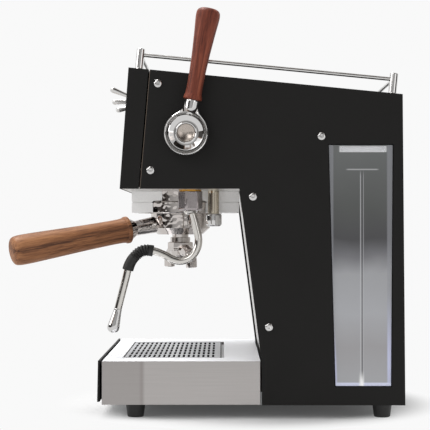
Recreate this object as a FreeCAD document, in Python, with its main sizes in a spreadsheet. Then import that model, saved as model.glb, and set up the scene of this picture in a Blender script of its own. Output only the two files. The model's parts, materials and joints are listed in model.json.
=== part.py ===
"""A semi-automatic espresso machine with a side-loading tank, a steam wand and a locking portafilter.

Frame: +X to the user's right, +Y to the back, +Z up; the origin lies on the counter, under the
middle of the body. Millimetres and degrees.
"""
import FreeCAD, Part
import math
import os
import re
import Sketcher
from FreeCAD import Placement, Rotation, Vector

SIZES = {
    # body
    "half_width": 135, "skin": 2, "sheet": 1.5, "gap": 0.3,
    "foot_height": 14, "foot_x": 115, "foot_front_y": -116.6, "foot_rear_y": 133,
    "base_front": -149.5, "base_back": 9.5, "base_top": 57.7,
    "head_base": 230.3, "face_foot": -131.5, "face_lean": 0.0724,
    "seam_foot": -111.3, "seam_lean": 0.0837, "seam": 1.4,
    "column_foot": 10.5, "column_lean": 0.1286,
    "roof_front_y": -101.3, "roof_front_z": 349.8, "roof_slope": 0.098,
    "back_foot": 154, "back_top": 151.8, "rear_skin_y": 149.8,
    # tank window in the right panel
    "window_low": 32.4, "window_high": 274.9, "window_rear_low": 140.6, "window_rear_high": 142.6,
    "window_front_low": 83.7, "window_front_high": 77.2,
    "tank_gap": 0.8, "tank_wall": 2.5, "tank_inner_x": -10, "tank_outer_x": 133.5,
    "slot_low": 267.3, "slot_high": 272.6, "slot_front": 89.5, "slot_rear": 134.5,
    "spigot_y": 112, "spigot_z": 45, "spigot_radius": 4.8, "socket_radius": 5.1,
    # drip tray and grille
    "tray_half": 104, "tray_back": -22, "tray_low": 15.8, "tray_high": 51.5, "tray_wall": 2,
    "drawer_front": -153.7, "drawer_low": 16.9, "drawer_high": 58.4,
    "grille_half": 95, "grille_front": -129.7, "grille_back": -31, "grille_low": 54.4,
    "grille_high": 57.4, "slot_pitch": 5.1, "slot_width": 2.4, "slot_rows": 19,
    "slot_length": 23.5,
    "opening_half": 96.5, "opening_front": -131.2, "opening_back": -27, "ledge": 4,
    # brew group
    "group_y": -75, "flange_radius": 47, "flange_low": 206.8, "flange_high": 219.8,
    "neck_radius": 42, "group_top": 232, "lip_radius": 33.5, "lip_high": 211.3,
    "channel_radius": 38.5, "channel_high": 216.3, "seat_radius": 36.5, "seat_high": 227,
    "block_half": 38, "block_front": -126, "block_back": -10.7, "block_low": 207.5, "block_top": 262,
    # portafilter
    "cup_radius": 32.5, "cup_low": 190.9, "cup_high": 217, "cup_bore": 30, "cup_foot": 184,
    "handle_swing": 25, "handle_droop": 10, "handle_height": 200, "wood_from": 62, "wood_to": 196,
    "lug_reach": 37.5, "lug_half": 11, "lug_low": 212, "lug_high": 216, "spout_reach": 30,
    # steam side
    "lever_x": 150, "lever_y": -64.5, "lever_z": 285.1, "lever_lean": 10.5,
    "hub_radius": 22.7, "stem_radius": 5, "valve_bore": 5.1, "valve_radius": 14,
    "wand_x": 95, "wand_y": -61.7, "ball_z": 213.5, "ball_radius": 9.2, "wand_radius": 4,
    # switches and rails
    "toggle_pitch": 45, "toggle_z": 330, "toggle_length": 26,
    "post_radius": 4.25, "post_height": 22, "rail_radius": 2, "rail_height": 15.6, "post_x": 120,
    "post_front": -11.8, "post_rear": 245.5,
    "screw_head": 4.25, "screw_shank": 1.9,
}

PANEL_SCREWS = [(-93.2, 335.6), (-100.6, 248.7), (70.5, 282.8), (2, 222.3), (18, 91.9)]
BACK = Vector(0, 1, 0)
FRONT = Vector(0, -1, 0)
RIGHT = Vector(1, 0, 0)
DOWN = Vector(0, 0, -1)

doc = FreeCAD.newDocument("EspressoMachine")
sheet = doc.addObject("Spreadsheet::Sheet", "Sizes")
nodes = {}


def fill_sheet():
    for row, (alias, size) in enumerate(SIZES.items(), 1):
        sheet.set(f"A{row}", alias.replace("_", " "))
        sheet.set(f"B{row}", str(size))
        sheet.setAlias(f"B{row}", alias)
    doc.recompute()


def bound(text):
    """The expression text with each size's name pointing at its cell."""
    return re.sub(r"[a-z_]+", lambda word: "Sizes." + word[0] if word[0] in SIZES else word[0], str(text))


def value(text):
    return float(sheet.evalExpression(bound(text)))


def bind(thing, **formulas):
    for name, text in formulas.items():
        thing.setExpression(name.replace("__", "."), bound(text))
    return thing


def place(thing, x="0", y="0", z="0", rotation=None):
    thing.Placement = Placement(Vector(value(x), value(y), value(z)), rotation or Rotation())
    return bind(thing, Placement__Base__x=x, Placement__Base__y=y, Placement__Base__z=z)


def towards(direction):
    return Rotation(Vector(0, 0, 1), direction)


# ---- solids ---------------------------------------------------------------------------------------
def box(x0, x1, y0, y1, z0, z1):
    solid = doc.addObject("Part::Box", "Block")
    bind(solid, Length=f"({x1})-({x0})", Width=f"({y1})-({y0})", Height=f"({z1})-({z0})")
    return place(solid, x0, y0, z0)


def rod(radius, length, x="0", y="0", z="0", along=None):
    solid = doc.addObject("Part::Cylinder", "Rod")
    bind(solid, Radius=radius, Height=length)
    return place(solid, x, y, z, towards(along or Vector(0, 0, 1)))


def cone(start_radius, end_radius, length, x="0", y="0", z="0", along=None):
    solid = doc.addObject("Part::Cone", "Taper")
    bind(solid, Radius1=start_radius, Radius2=end_radius, Height=length)
    return place(solid, x, y, z, towards(along or Vector(0, 0, 1)))


def hexagon(across_flats, length, x="0", y="0", z="0", along=None):
    solid = doc.addObject("Part::Prism", "Hexagon")
    solid.Polygon = 6
    bind(solid, Circumradius=f"({across_flats})*0.57735", Height=length)
    return place(solid, x, y, z, towards(along or Vector(0, 0, 1)))


def ball(radius, x="0", y="0", z="0", from_latitude=-90):
    solid = doc.addObject("Part::Sphere", "Ball")
    solid.Angle1 = from_latitude
    bind(solid, Radius=radius)
    return place(solid, x, y, z)


def fuse(*solids):
    whole = doc.addObject("Part::MultiFuse", "Union")
    whole.Shapes = list(solids)
    whole.Refine = True
    return whole


def cut(base, *tools):
    rest = doc.addObject("Part::Cut", "Difference")
    rest.Base = base
    rest.Tool = tools[0] if len(tools) == 1 else fuse(*tools)
    return rest


def group(*solids):
    several = doc.addObject("Part::Compound", "Group")
    several.Links = list(solids)
    return several


def draw(body, role, outlines, offset):
    """A sketch on one of the body's origin planes; each corner and circle is tied to the sheet."""
    sketch = body.newObject("Sketcher::SketchObject", "Outline")
    plane = next(f for f in body.Origin.OriginFeatures if f.Role == role)
    sketch.AttachmentSupport = (plane, [""])
    sketch.MapMode = "FlatFace"
    bind(sketch, AttachmentOffset__Base__z=offset)
    for outline in outlines:
        first = sketch.GeometryCount
        if len(outline) == 3 and isinstance(outline[0], str):
            across, up, radius = (value(size) for size in outline)
            sketch.addGeometry(Part.Circle(Vector(across, up, 0), Vector(0, 0, 1), radius), False)
            corners = [(first, 3, outline[0], outline[1])]
            number = sketch.addConstraint(Sketcher.Constraint("Radius", first, radius))
            sketch.setExpression(f"Constraints[{number}]", bound(outline[2]))
        else:
            spots = [Vector(value(a), value(b), 0) for a, b in outline]
            for i, spot in enumerate(spots):
                sketch.addGeometry(Part.LineSegment(spot, spots[(i + 1) % len(spots)]), False)
            for i in range(len(spots)):
                after = first + (i + 1) % len(spots)
                sketch.addConstraint(Sketcher.Constraint("Coincident", first + i, 2, after, 1))
            corners = [(first + i, 1, a, b) for i, (a, b) in enumerate(outline)]
        for geometry, point, across, up in corners:
            for kind, text in (("DistanceX", across), ("DistanceY", up)):
                number = sketch.addConstraint(Sketcher.Constraint(kind, -1, 1, geometry, point, value(text)))
                sketch.setExpression(f"Constraints[{number}]", bound(text))
    return sketch


def padded(role, outlines, low, high):
    """A body padded between two heights along the plane's axis; the XZ plane faces -Y."""
    body = doc.addObject("PartDesign::Body", "Body")
    start = f"-({high})" if role == "XZ_Plane" else low
    sketch = draw(body, role, outlines, start)
    pad = body.newObject("PartDesign::Pad", "Pad")
    pad.Profile = sketch
    bind(pad, Length=f"({high})-({low})")
    return body


def pocket(body, role, outlines, low, high):
    """Cuts the outlines out of the body between two heights along the plane's axis."""
    top = f"-({low})" if role == "XZ_Plane" else high
    sketch = draw(body, role, outlines, top)
    hollow = body.newObject("PartDesign::Pocket", "Pocket")
    hollow.Profile = sketch
    bind(hollow, Length=f"({high})-({low})")
    return hollow


def turned(outline, x="0", y="0", z="0", along=None):
    """A body of revolution from (radius, height) corners, its axis set along a direction."""
    body = doc.addObject("PartDesign::Body", "Turned")
    sketch = draw(body, "XZ_Plane", [outline], "0")
    turn = body.newObject("PartDesign::Revolution", "Revolution")
    turn.Profile = sketch
    turn.ReferenceAxis = (sketch, ["V_Axis"])
    turn.Angle = 360
    return place(body, x, y, z, towards(along or Vector(0, 0, 1)))


def bent_tube(corners, radius, bend, bore=0.0):
    """A round tube along straight runs joined by tangent arcs of one bend radius."""
    spots = [Vector(*corner) for corner in corners]
    edges, start = [], spots[0]
    for before, corner, after in zip(spots, spots[1:], spots[2:]):
        inward = (before - corner).normalize()
        outward = (after - corner).normalize()
        half_turn = (math.pi - inward.getAngle(outward)) / 2
        reach = bend * math.tan(half_turn)
        to_middle = bend / math.cos(half_turn) - bend
        first, last = corner + inward * reach, corner + outward * reach
        middle = corner + (inward + outward).normalize() * to_middle
        edges.append(Part.LineSegment(start, first).toShape())
        edges.append(Part.Arc(first, middle, last).toShape())
        start = last
    edges.append(Part.LineSegment(start, spots[-1]).toShape())
    spine = Part.Wire(edges)

    def sweep(ring_radius):
        ring = Part.Wire(Part.makeCircle(ring_radius, spots[0], spots[1] - spots[0]))
        return spine.makePipeShell([ring], True, True)

    shape = sweep(radius)
    if bore:
        shape = shape.cut(sweep(bore))
    feature = doc.addObject("Part::Feature", "Tube")
    feature.Shape = shape
    return feature


def node(label, thing):
    thing.Label = label
    nodes[label] = thing
    return thing


# ---- lines that several parts share ---------------------------------------------------------------
def face(z, inset="0"):
    """The head's front face at height z, as a Y."""
    return f"face_foot+face_lean*(({z})-head_base)+({inset})"


def seam(z, inset="0"):
    """The side panels' front edge on the head at height z."""
    return f"seam_foot+seam_lean*(({z})-head_base)+({inset})"


def column(z, inset="0"):
    """The column's front edge at height z."""
    return f"column_foot-column_lean*(({z})-base_top)+({inset})"


def roof(y, drop="0"):
    """The roof line's height at depth y."""
    return f"roof_front_z-roof_slope*(({y})-roof_front_y)-({drop})"


def window(inset):
    """The tank window's outline, moved inwards."""
    return [
        (f"window_front_low+{inset}", f"window_low+{inset}"),
        (f"window_rear_low-{inset}", f"window_low+{inset}"),
        (f"window_rear_high-{inset}", f"window_high-{inset}"),
        (f"window_front_high+{inset}", f"window_high-{inset}"),
    ]


# ---- base -----------------------------------------------------------------------------------------
def make_feet():
    feet = []
    for side in ("foot_x", "-foot_x"):
        for depth in ("foot_front_y", "foot_rear_y"):
            pad = cone("8.5", "10", "foot_height", side, depth)
            neck = rod("3", "sheet+0.2", side, depth, "foot_height")
            button = rod("4.5", "2", side, depth, "foot_height+sheet+0.1")
            feet.append(fuse(pad, neck, button))
    node("feet", group(*feet))


def make_base():
    inner = "half_width-skin-1.8"
    floor = box(f"-({inner})", inner, "base_front+2.5", "rear_skin_y-gap", "foot_height", "foot_height+sheet")
    flanges = [
        box(x0, x1, "base_front+2.5", "rear_skin_y-gap", "foot_height", "foot_height+13")
        for x0, x1 in ((f"-({inner})", f"-({inner}-sheet)"), (f"{inner}-sheet", inner))
    ]
    holes = [
        rod("3.1", "sheet+2", x, y, "foot_height-1")
        for x in ("foot_x", "-foot_x")
        for y in ("foot_front_y", "foot_rear_y")
    ]
    node("base_pan", cut(fuse(floor, *flanges), *holes))

    wall = "half_width-skin"
    inside = f"({wall}-sheet)"
    shell = padded(
        "XZ_Plane",
        [[
            (f"-({wall})", "foot_height"), (f"-{inside}", "foot_height"),
            (f"-{inside}", "base_top-sheet"), (inside, "base_top-sheet"),
            (inside, "foot_height"), (wall, "foot_height"),
            (wall, "base_top"), (f"-({wall})", "base_top"),
        ]],
        "base_front", "base_back",
    )
    rim = box("-opening_half-sheet", "opening_half+sheet", "opening_front-sheet", "opening_back+sheet",
              "grille_low-gap-sheet", "base_top-0.2")
    well = box("-opening_half", "opening_half", "opening_front", "opening_back", "grille_low-gap",
               "base_top+1")
    through = box("-opening_half+ledge", "opening_half-ledge", "opening_front+ledge",
                  "opening_back-ledge", "grille_low-5", "base_top+1")
    node("base_cover", cut(fuse(shell, rim), well, through))


def make_drawer():
    tray = box("-tray_half", "tray_half", "drawer_front+2.2", "tray_back", "tray_low", "tray_high")
    hollow = box("-tray_half+tray_wall", "tray_half-tray_wall", "drawer_front+2.2+tray_wall",
                 "tray_back-tray_wall", "tray_low+tray_wall", "tray_high+1")
    node("drip_tray", cut(tray, hollow))
    front = padded(
        "YZ_Plane",
        [[
            ("drawer_front-0.4", "drawer_low"), ("drawer_front+2.2", "drawer_low"),
            ("drawer_front+2.2", "tray_high"), ("drawer_front+2.6", "drawer_high"),
            ("drawer_front+0.4", "drawer_high"),
        ]],
        "-half_width+skin", "half_width-skin",
    )
    node("drip_tray_front", front)


def make_grille():
    plate = padded(
        "XY_Plane",
        [[
            ("-grille_half", "grille_front"), ("grille_half", "grille_front"),
            ("grille_half", "grille_back"), ("-grille_half", "grille_back"),
        ]],
        "grille_low", "grille_high",
    )
    first = "grille_front+3.5"
    starts = [f"-grille_half+8.25+{i}*(grille_half-5)/3" for i in range(6)]
    row = [
        [(x, first), (f"{x}+slot_length", first), (f"{x}+slot_length", f"{first}+slot_width"),
         (x, f"{first}+slot_width")]
        for x in starts
    ]
    slots = pocket(plate, "XY_Plane", row, "grille_low", "grille_high")
    doc.recompute()
    rows = plate.newObject("PartDesign::LinearPattern", "Rows")
    rows.Originals = [slots]
    rows.Direction = (next(f for f in plate.Origin.OriginFeatures if f.Role == "Y_Axis"), [""])
    bind(rows, Length="slot_pitch*(slot_rows-2)", Occurrences="slot_rows-1")
    plate.Tip = rows
    node("drip_grille", plate)


# ---- body panels ----------------------------------------------------------------------------------
def panel_outline(inset="0"):
    return [
        ("column_foot+0.5", "foot_height"), ("back_foot", "foot_height"),
        ("back_top", roof("back_top")), ("roof_front_y", "roof_front_z"),
        ("seam_foot", "head_base"), (column("head_base"), "head_base"), ("column_foot", "base_top"),
    ]


def make_side_panels():
    holes = [(str(y), str(z), "screw_shank+0.2") for y, z in PANEL_SCREWS]
    right = padded(
        "YZ_Plane",
        [panel_outline(), window("0"), ("lever_y", "lever_z", "stem_radius+0.5"), *holes],
        "half_width-skin", "half_width",
    )
    node("side_panel_right", right)
    left = padded("YZ_Plane", [panel_outline(), *holes], "-half_width", "-half_width+skin")
    node("side_panel_left", left)


def make_panel_screws():
    screws = []
    for side, out in (("half_width", RIGHT), ("-half_width", -RIGHT)):
        sign = "" if out.x > 0 else "-1*"
        for y, z in PANEL_SCREWS:
            head = cone("screw_head", "screw_head-1.3", "2.3", side, y, z, out)
            shank = rod("screw_shank", "7", f"{side}-({sign}7)", y, z, out)
            socket = hexagon("2.8", "1.4", f"{side}+({sign}1.2)", y, z, out)
            screws.append(cut(fuse(head, shank), socket))
    node("panel_screws", group(*screws))


def make_front_panel():
    outline = [
        (face("head_base"), "head_base"), (seam("head_base", "-seam"), "head_base"),
        (seam("350", "-seam"), roof(seam("350", "-seam"))), (face("352"), roof(face("352"))),
    ]
    panel = padded("YZ_Plane", [outline], "-half_width", "half_width")
    hollow = [
        (face("head_base-1", "skin"), "head_base-1"), ("-90", "head_base-1"),
        ("-90", roof("-90", "skin")), (face("352", "skin"), roof(face("352"), "skin")),
    ]
    pocket(panel, "YZ_Plane", [hollow], "-half_width+skin", "half_width-skin")
    toggles = [
        rod("6", "12", x, face("toggle_z", "-6"), "toggle_z+0.4", Vector(0, 1, -0.0724))
        for x in ("-toggle_pitch", "0", "toggle_pitch")
    ]
    lamp_hole = rod("3.4", "12", "78", face("258", "-6"), "258", BACK)
    node("front_panel", cut(panel, lamp_hole, *toggles))


def make_top_plate():
    front, back = seam("350", "gap"), "rear_skin_y"
    plate = padded(
        "YZ_Plane",
        [[
            (front, roof(front, "0.4+sheet")), (back, roof(back, "0.4+sheet")),
            (back, roof(back, "0.4")), (front, roof(front, "0.4")),
        ]],
        "-half_width+skin+0.2", "half_width-skin-0.2",
    )
    slots = [
        box(f"{10 * i}-1.5", f"{10 * i}+1.5", "60", "110", "320", "350") for i in range(-5, 6)
    ]
    node("top_plate", cut(plate, *slots))


def make_back_and_column():
    half = "half_width-skin-0.2"
    sheet_metal = box(f"-({half})", half, "rear_skin_y", "rear_skin_y+sheet", "foot_height+0.5", "322")
    inlet = box("-101", "-73", "145", "155", "39", "61")
    vents = [box("-60", "60", "145", "155", f"{200 + 9 * i}", f"{203 + 9 * i}") for i in range(8)]
    node("rear_panel", cut(sheet_metal, inlet, *vents))

    plate = padded(
        "YZ_Plane",
        [[
            (column("base_top", "2"), "foot_height+sheet+0.2"),
            (column("base_top", "3.5"), "foot_height+sheet+0.2"),
            (column("base_top", "3.5"), "base_top"), (column("head_base-0.3", "3.5"), "head_base-0.3"),
            (column("head_base-0.3", "2"), "head_base-0.3"), (column("base_top", "2"), "base_top"),
        ]],
        "-half_width+skin+3.4", "half_width-skin-3.4",
    )
    node("column_plate", plate)

    floor = box(f"-({half})", half, face("head_base", "skin+0.3"), "30", "head_base", "head_base+sheet")
    block_hole = box("-block_half-1", "block_half+1", "block_front-1", "-9", "head_base-1", "head_base+3")
    wand_hole = rod("5", "6", "wand_x", "wand_y", "head_base-1")
    spout_hole = rod("6.2", "6", "60", "-38", "head_base-1")
    group_hole = rod("neck_radius+0.2", "6", "0", "group_y", "head_base-1")
    notches = [
        box(x0, x1, "-7", "31", "head_base-1", "head_base+3")
        for x0, x1 in ((f"-({half})-1", f"-({half})+2"), (f"{half}-2", f"{half}+1"))
    ]
    node("head_floor", cut(floor, block_hole, group_hole, wand_hole, spout_hole, *notches))


def make_chassis():
    """Two side brackets behind the panels, tied by three bars."""
    outline = [
        ("column_foot+6", "foot_height+14"), ("74.5", "foot_height+14"),
        ("74.5", roof("74.5", "8")), ("-96", roof("-96", "8")),
        ("-104.5", "head_base+4"), ("-5", "head_base+4"),
    ]
    windows = [
        [("-60", "308"), ("40", "300"), ("40", "322"), ("-60", "332")],
        [("34", "60"), ("60", "60"), ("60", "270"), ("10", "270"), ("10", "238")],
    ]
    valve_hole = ("lever_y", "lever_z", "valve_radius+1")
    screw_holes = [(str(y), str(z), "screw_shank+0.1") for y, z in PANEL_SCREWS]
    sides = [
        padded("YZ_Plane", [outline, *windows, valve_hole, *screw_holes], x0, x1)
        for x0, x1 in (
            ("-half_width+skin", "-half_width+skin+sheet"), ("half_width-skin-sheet", "half_width-skin"),
        )
    ]
    inner = "half_width-skin-sheet"
    bars = [
        box(f"-({inner})", inner, y, f"{y}+8", z, f"{z}+12")
        for y, z in (("-92", "300"), ("56", "300"), ("16", "112"))
    ]
    node("chassis_frame", fuse(*sides, *bars))


def make_gallery():
    """Four posts and four rails, built square and then laid on the sloping roof."""
    posts, holes, rails = [], [], []
    inset = "post_radius-1.6"
    for x in ("-post_x", "post_x"):
        for y in ("post_front", "post_rear"):
            shaft = rod("post_radius", "post_height-1", x, y)
            tip = cone("post_radius", "post_radius-1.2", "1.2", x, y, "post_height-1")
            posts.append(fuse(shaft, tip))
        side = f"post_rear-post_front-2*({inset})"
        rails.append(rod("rail_radius", side, x, f"post_front+{inset}", "rail_height", BACK))
    for y in ("post_front", "post_rear"):
        rails.append(rod("rail_radius", f"2*post_x-2*({inset})", f"-post_x+{inset}", y, "rail_height", RIGHT))
    laid = Rotation(RIGHT, -math.degrees(math.atan(SIZES["roof_slope"])))
    tools = fuse(*rails)
    drilled = group(*[cut(post, tools) for post in posts])
    for name, thing in (("gallery_posts", drilled), ("gallery_rails", group(*rails))):
        node(name, place(thing, "0", "roof_front_y", "roof_front_z", laid))


# ---- brew side ------------------------------------------------------------------------------------
def make_group():
    group_body = turned(
        [
            ("lip_radius", "flange_low"), ("flange_radius-1", "flange_low"),
            ("flange_radius", "flange_low+1"), ("flange_radius", "flange_high-1.5"),
            ("flange_radius-1.5", "flange_high"), ("neck_radius", "flange_high"),
            ("neck_radius", "group_top"), ("0", "group_top"), ("0", "seat_high"),
            ("seat_radius", "seat_high"), ("seat_radius", "channel_high"),
            ("channel_radius", "channel_high"), ("channel_radius", "lip_high"), ("lip_radius", "lip_high"),
        ],
        "0", "group_y",
    )
    entry = group(box("-38.4", "38.4", "-13.5", "13.5", "flange_low-1", "lip_high+0.1"))
    place(entry, "0", "group_y", "0", Rotation(Vector(0, 0, 1), SIZES["handle_swing"] - 65))
    water = rod("2.5", "10", "12", "group_y", "seat_high-1")
    screw_hole = rod("2", "5", "0", "group_y", "seat_high-0.5")
    node("group_head", cut(group_body, entry, water, screw_hole))
    ring = turned(
        [
            ("29.5", "218.3"), ("seat_radius-0.1", "218.3"), ("seat_radius-0.1", "seat_high"),
            ("29.5", "seat_high"),
        ],
        "0", "group_y",
    )
    node("group_gasket", ring)
    disc = rod("28.8", "1.2", "0", "group_y", "221")
    boss = rod("6", "seat_high-222.2", "0", "group_y", "222.2")
    pores = [
        rod("1", "4", f"{radius * math.cos(turn_by):.3f}", f"group_y+{radius * math.sin(turn_by):.3f}", "220")
        for radius, count in ((12, 8), (19, 14), (25, 18))
        for turn_by in [2 * math.pi * i / count for i in range(count)]
    ]
    bore = rod("2", "8", "0", "group_y", "220.5")
    node("shower_screen", cut(fuse(disc, boss), bore, *pores))
    head = cone("3", "4.2", "1.8", "0", "group_y", "219.2")
    shank = rod("1.9", "9.5", "0", "group_y", "221")
    slot = box("-4", "4", "group_y-0.5", "group_y+0.5", "219", "219.9")
    node("screen_screw", cut(fuse(head, shank), slot))


def make_brew_block():
    block = box("-block_half", "block_half", "block_front", "block_back", "block_low", "block_top")
    flange_room = rod("flange_radius+0.3", "flange_high-block_low+1.4", "0", "group_y", "block_low-1")
    neck_room = rod("neck_radius+0.2", "group_top-flange_high", "0", "group_y", "flange_high")
    groove = cut(
        box("-45", "45", "-140", "0", "218", "219"),
        box("-block_half+1", "block_half-1", "block_front+1", "block_back-1", "217", "220"),
    )
    feed = rod("3", "20", "-24", "-30", "block_top-12")
    outlet = rod("3", "20", "24", "-30", "block_top-12")
    node("brew_thermoblock", cut(block, flange_room, neck_room, groove, feed, outlet))
    stat = rod("11", "6", "0", "-70", "block_top")
    blades = box("-1", "1", "-76", "-64", "block_top+6", "block_top+13")
    node("thermostat", fuse(stat, blades))


def make_portafilter():
    """Built with its handle along -Y and its axis on Z, then swung to the locked position."""
    swing = Rotation(Vector(0, 0, 1), SIZES["handle_swing"])
    droop = math.radians(SIZES["handle_droop"])
    along = Vector(0, -math.cos(droop), -math.sin(droop))

    def spot(distance):
        return "0", f"{along.y:.6f}*({distance})", f"handle_height{along.z:.6f}*({distance})"

    cup = turned([
        ("0", "cup_foot"), ("25", "cup_foot"), ("cup_radius", "cup_low"), ("cup_radius", "cup_high"),
        ("cup_bore", "cup_high"), ("cup_bore", "cup_low"), ("24", "cup_foot+2.5"), ("0", "cup_foot+2.5"),
    ])
    lug_bar = box("-lug_reach", "lug_reach", "-lug_half", "lug_half", "lug_low", "lug_high")
    lug_round = rod("lug_reach", "lug_high-lug_low", "0", "0", "lug_low")
    lugs = doc.addObject("Part::Common", "Lugs")
    lugs.Base, lugs.Tool = lug_bar, lug_round
    outer = rod("cup_bore+1", "20", "0", "0", "200")
    ears = cut(lugs, outer)
    neck = cone("9", "8", "26", *spot("30"), along)
    collar = cone("8", "13", "8", *spot("wood_from-8"), along)
    stud = rod("5", "70", *spot("wood_from-1"), along)
    inside = cut(fuse(neck, collar, stud), rod("cup_bore+0.5", "60", "0", "0", "180"))
    boss = rod("9", "5", "0", "0", "cup_foot-4")
    drain = rod("4", "20", "0", "0", "cup_foot-10")
    metal = cut(fuse(cup, ears, inside, boss), drain)
    node("portafilter", place(metal, "0", "group_y", "0", swing))

    profile = [
        ("5.05", "0"), ("14.5", "0"), ("14.5", "4"), ("13.2", "8"), ("13", "20"), ("13.6", "50"),
        ("15", "85"), ("16", "112"), ("15.6", "124"), ("12.5", "131"), ("6", "wood_to-wood_from"),
        ("0", "wood_to-wood_from"), ("0", "70"), ("5.05", "70"),
    ]
    wood = turned(profile, *spot("wood_from"), along)
    node("portafilter_handle", place(group(wood), "0", "group_y", "0", swing))

    basket = turned([
        ("0", "194"), ("26.5", "194"), ("28.8", "197"), ("28.8", "cup_high"), ("32", "cup_high"),
        ("32", "cup_high+0.8"), ("28", "cup_high+0.8"), ("28", "197.4"), ("26.2", "194.8"), ("0", "194.8"),
    ], "0", "group_y")
    node("filter_basket", basket)
    ring = doc.addObject("Part::Torus", "Ring")
    ring.Radius1, ring.Radius2 = 29.4, 0.5
    node("basket_spring", place(ring, "0", "group_y", "208"))

    nut = hexagon("24", "10", "0", "0", "166")
    hub = rod("11", "20", "0", "0", "160")
    arms = [rod("6", "spout_reach", "0", "0", "165", side) for side in (RIGHT, -RIGHT)]
    drops = [cone("6.5", "6", "17", side, "0", "165", DOWN) for side in ("spout_reach", "-spout_reach")]
    knees = [ball("6.5", side, "0", "165") for side in ("spout_reach", "-spout_reach")]
    bores = [rod("4.3", "25", side, "0", "165", DOWN) for side in ("spout_reach", "-spout_reach")]
    across = rod("4.2", "2*spout_reach", "-spout_reach", "0", "165", RIGHT)
    well = rod("9.1", "20", "0", "0", "176")
    throat = rod("4", "20", "0", "0", "164")
    spout = cut(fuse(nut, hub, *arms, *drops, *knees), across, well, throat, *bores)
    node("double_spout", place(spout, "0", "group_y", "0", swing))


def make_hydraulics():
    body = box("-75", "-45", "-60", "-30", "236", "256")
    port = rod("3", "16", "-60", "-45", "244", RIGHT)
    core = rod("6.3", "36", "-60", "-45", "255")
    node("solenoid_valve", fuse(cut(body, port), core))
    coil = box("-78", "-42", "-63", "-27", "256.3", "288")
    node("solenoid_coil", cut(coil, rod("6.5", "40", "-60", "-45", "250")))
    steam = box("20", "76", "0", "62", "240", "286")
    node("steam_thermoblock", cut(steam, rod("3", "12", "48", "30", "278")))
    motor = rod("24", "56", "-104", "60", "52", RIGHT)
    head = rod("12", "30", "-48", "60", "52", RIGHT)
    nose = rod("4", "14", "-18", "60", "52", RIGHT)
    node("pump", fuse(motor, head, nose))
    mounts = [
        cut(box(x, f"{x}+8", "30", "90", "foot_height+sheet", "56"),
            rod("24", "20", f"{x}-5", "60", "52", RIGHT))
        for x in ("-98", "-68")
    ]
    node("pump_mounts", group(*mounts))
    board = box("-122", "-30", "146", "147.6", "100", "190")
    relay = box("-110", "-92", "130", "146", "120", "138")
    heatsink = box("-80", "-50", "128", "146", "150", "170")
    node("control_board", fuse(board, relay, heatsink))
    suction = bent_tube([(-30.1, 112, 45), (-60, 112, 45), (-60, 112, 95), (14, 60, 95), (14, 60, 52),
                         (-3.5, 60, 52)], 3.8, 8)
    delivery = bent_tube([(-24, -30, 251), (-24, -30, 300), (-24, 44, 300), (-24, 44, 120), (-80, 44, 120),
                          (-80, 52, 80)], 2.9, 12)
    node("water_hoses", group(suction, delivery))
    node("steam_pipe", bent_tube([(95, -61.7, 230.4), (95, -61.7, 250), (99, -64.5, 270.3)], 2.9, 8))


def make_steam_valve():
    body = rod("valve_radius", "36", "95", "lever_y", "lever_z", RIGHT)
    bore = rod("valve_bore", "22", "110", "lever_y", "lever_z", RIGHT)
    node("steam_valve_body", cut(body, bore))
    stem = rod("stem_radius", "29", "112", "lever_y", "lever_z", RIGHT)
    node("steam_valve_stem", stem)

    lean = math.radians(SIZES["lever_lean"])
    up = Vector(0, math.sin(lean), math.cos(lean))

    def spot(distance):
        return "lever_x", f"lever_y+{up.y:.6f}*({distance})", f"lever_z+{up.z:.6f}*({distance})"

    hub = turned(
        [
            ("5", "0"), ("18", "0"), ("21.5", "2"), ("hub_radius", "5"), ("hub_radius", "15"), ("21.2", "17.5"),
            ("18.6", "18.5"), ("18.2", "15.5"), ("17.5", "15.5"), ("16.8", "18"), ("10.6", "15.6"),
            ("9.8", "17"), ("8.7", "17"), ("0", "12"), ("0", "4"), ("5", "4"),
        ],
        "137", "lever_y", "lever_z", RIGHT,
    )
    flare = cone("10", "6.2", "14", "lever_x-3", *spot("16")[1:], up)
    neck = rod("6.2", "21.4", "lever_x-3", *spot("12")[1:], up)
    tang = rod("3", "60", "lever_x-3", *spot("30")[1:], up)
    arm = cut(fuse(neck, flare, tang), rod("20", "20", "130", "lever_y", "lever_z", RIGHT))
    node("steam_lever_hub", fuse(hub, arm))
    wood = turned(
        [
            ("3.05", "0"), ("9.3", "0"), ("9.3", "3"), ("7.9", "8"), ("7.8", "22"), ("8.6", "45"), ("10.6", "70"),
            ("12.1", "84"), ("11.4", "90"), ("7.5", "92.5"), ("0", "92.5"), ("0", "58"), ("3.05", "58"),
        ],
        "lever_x-3", *spot("33.4")[1:], up,
    )
    node("steam_lever_handle", wood)


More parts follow.
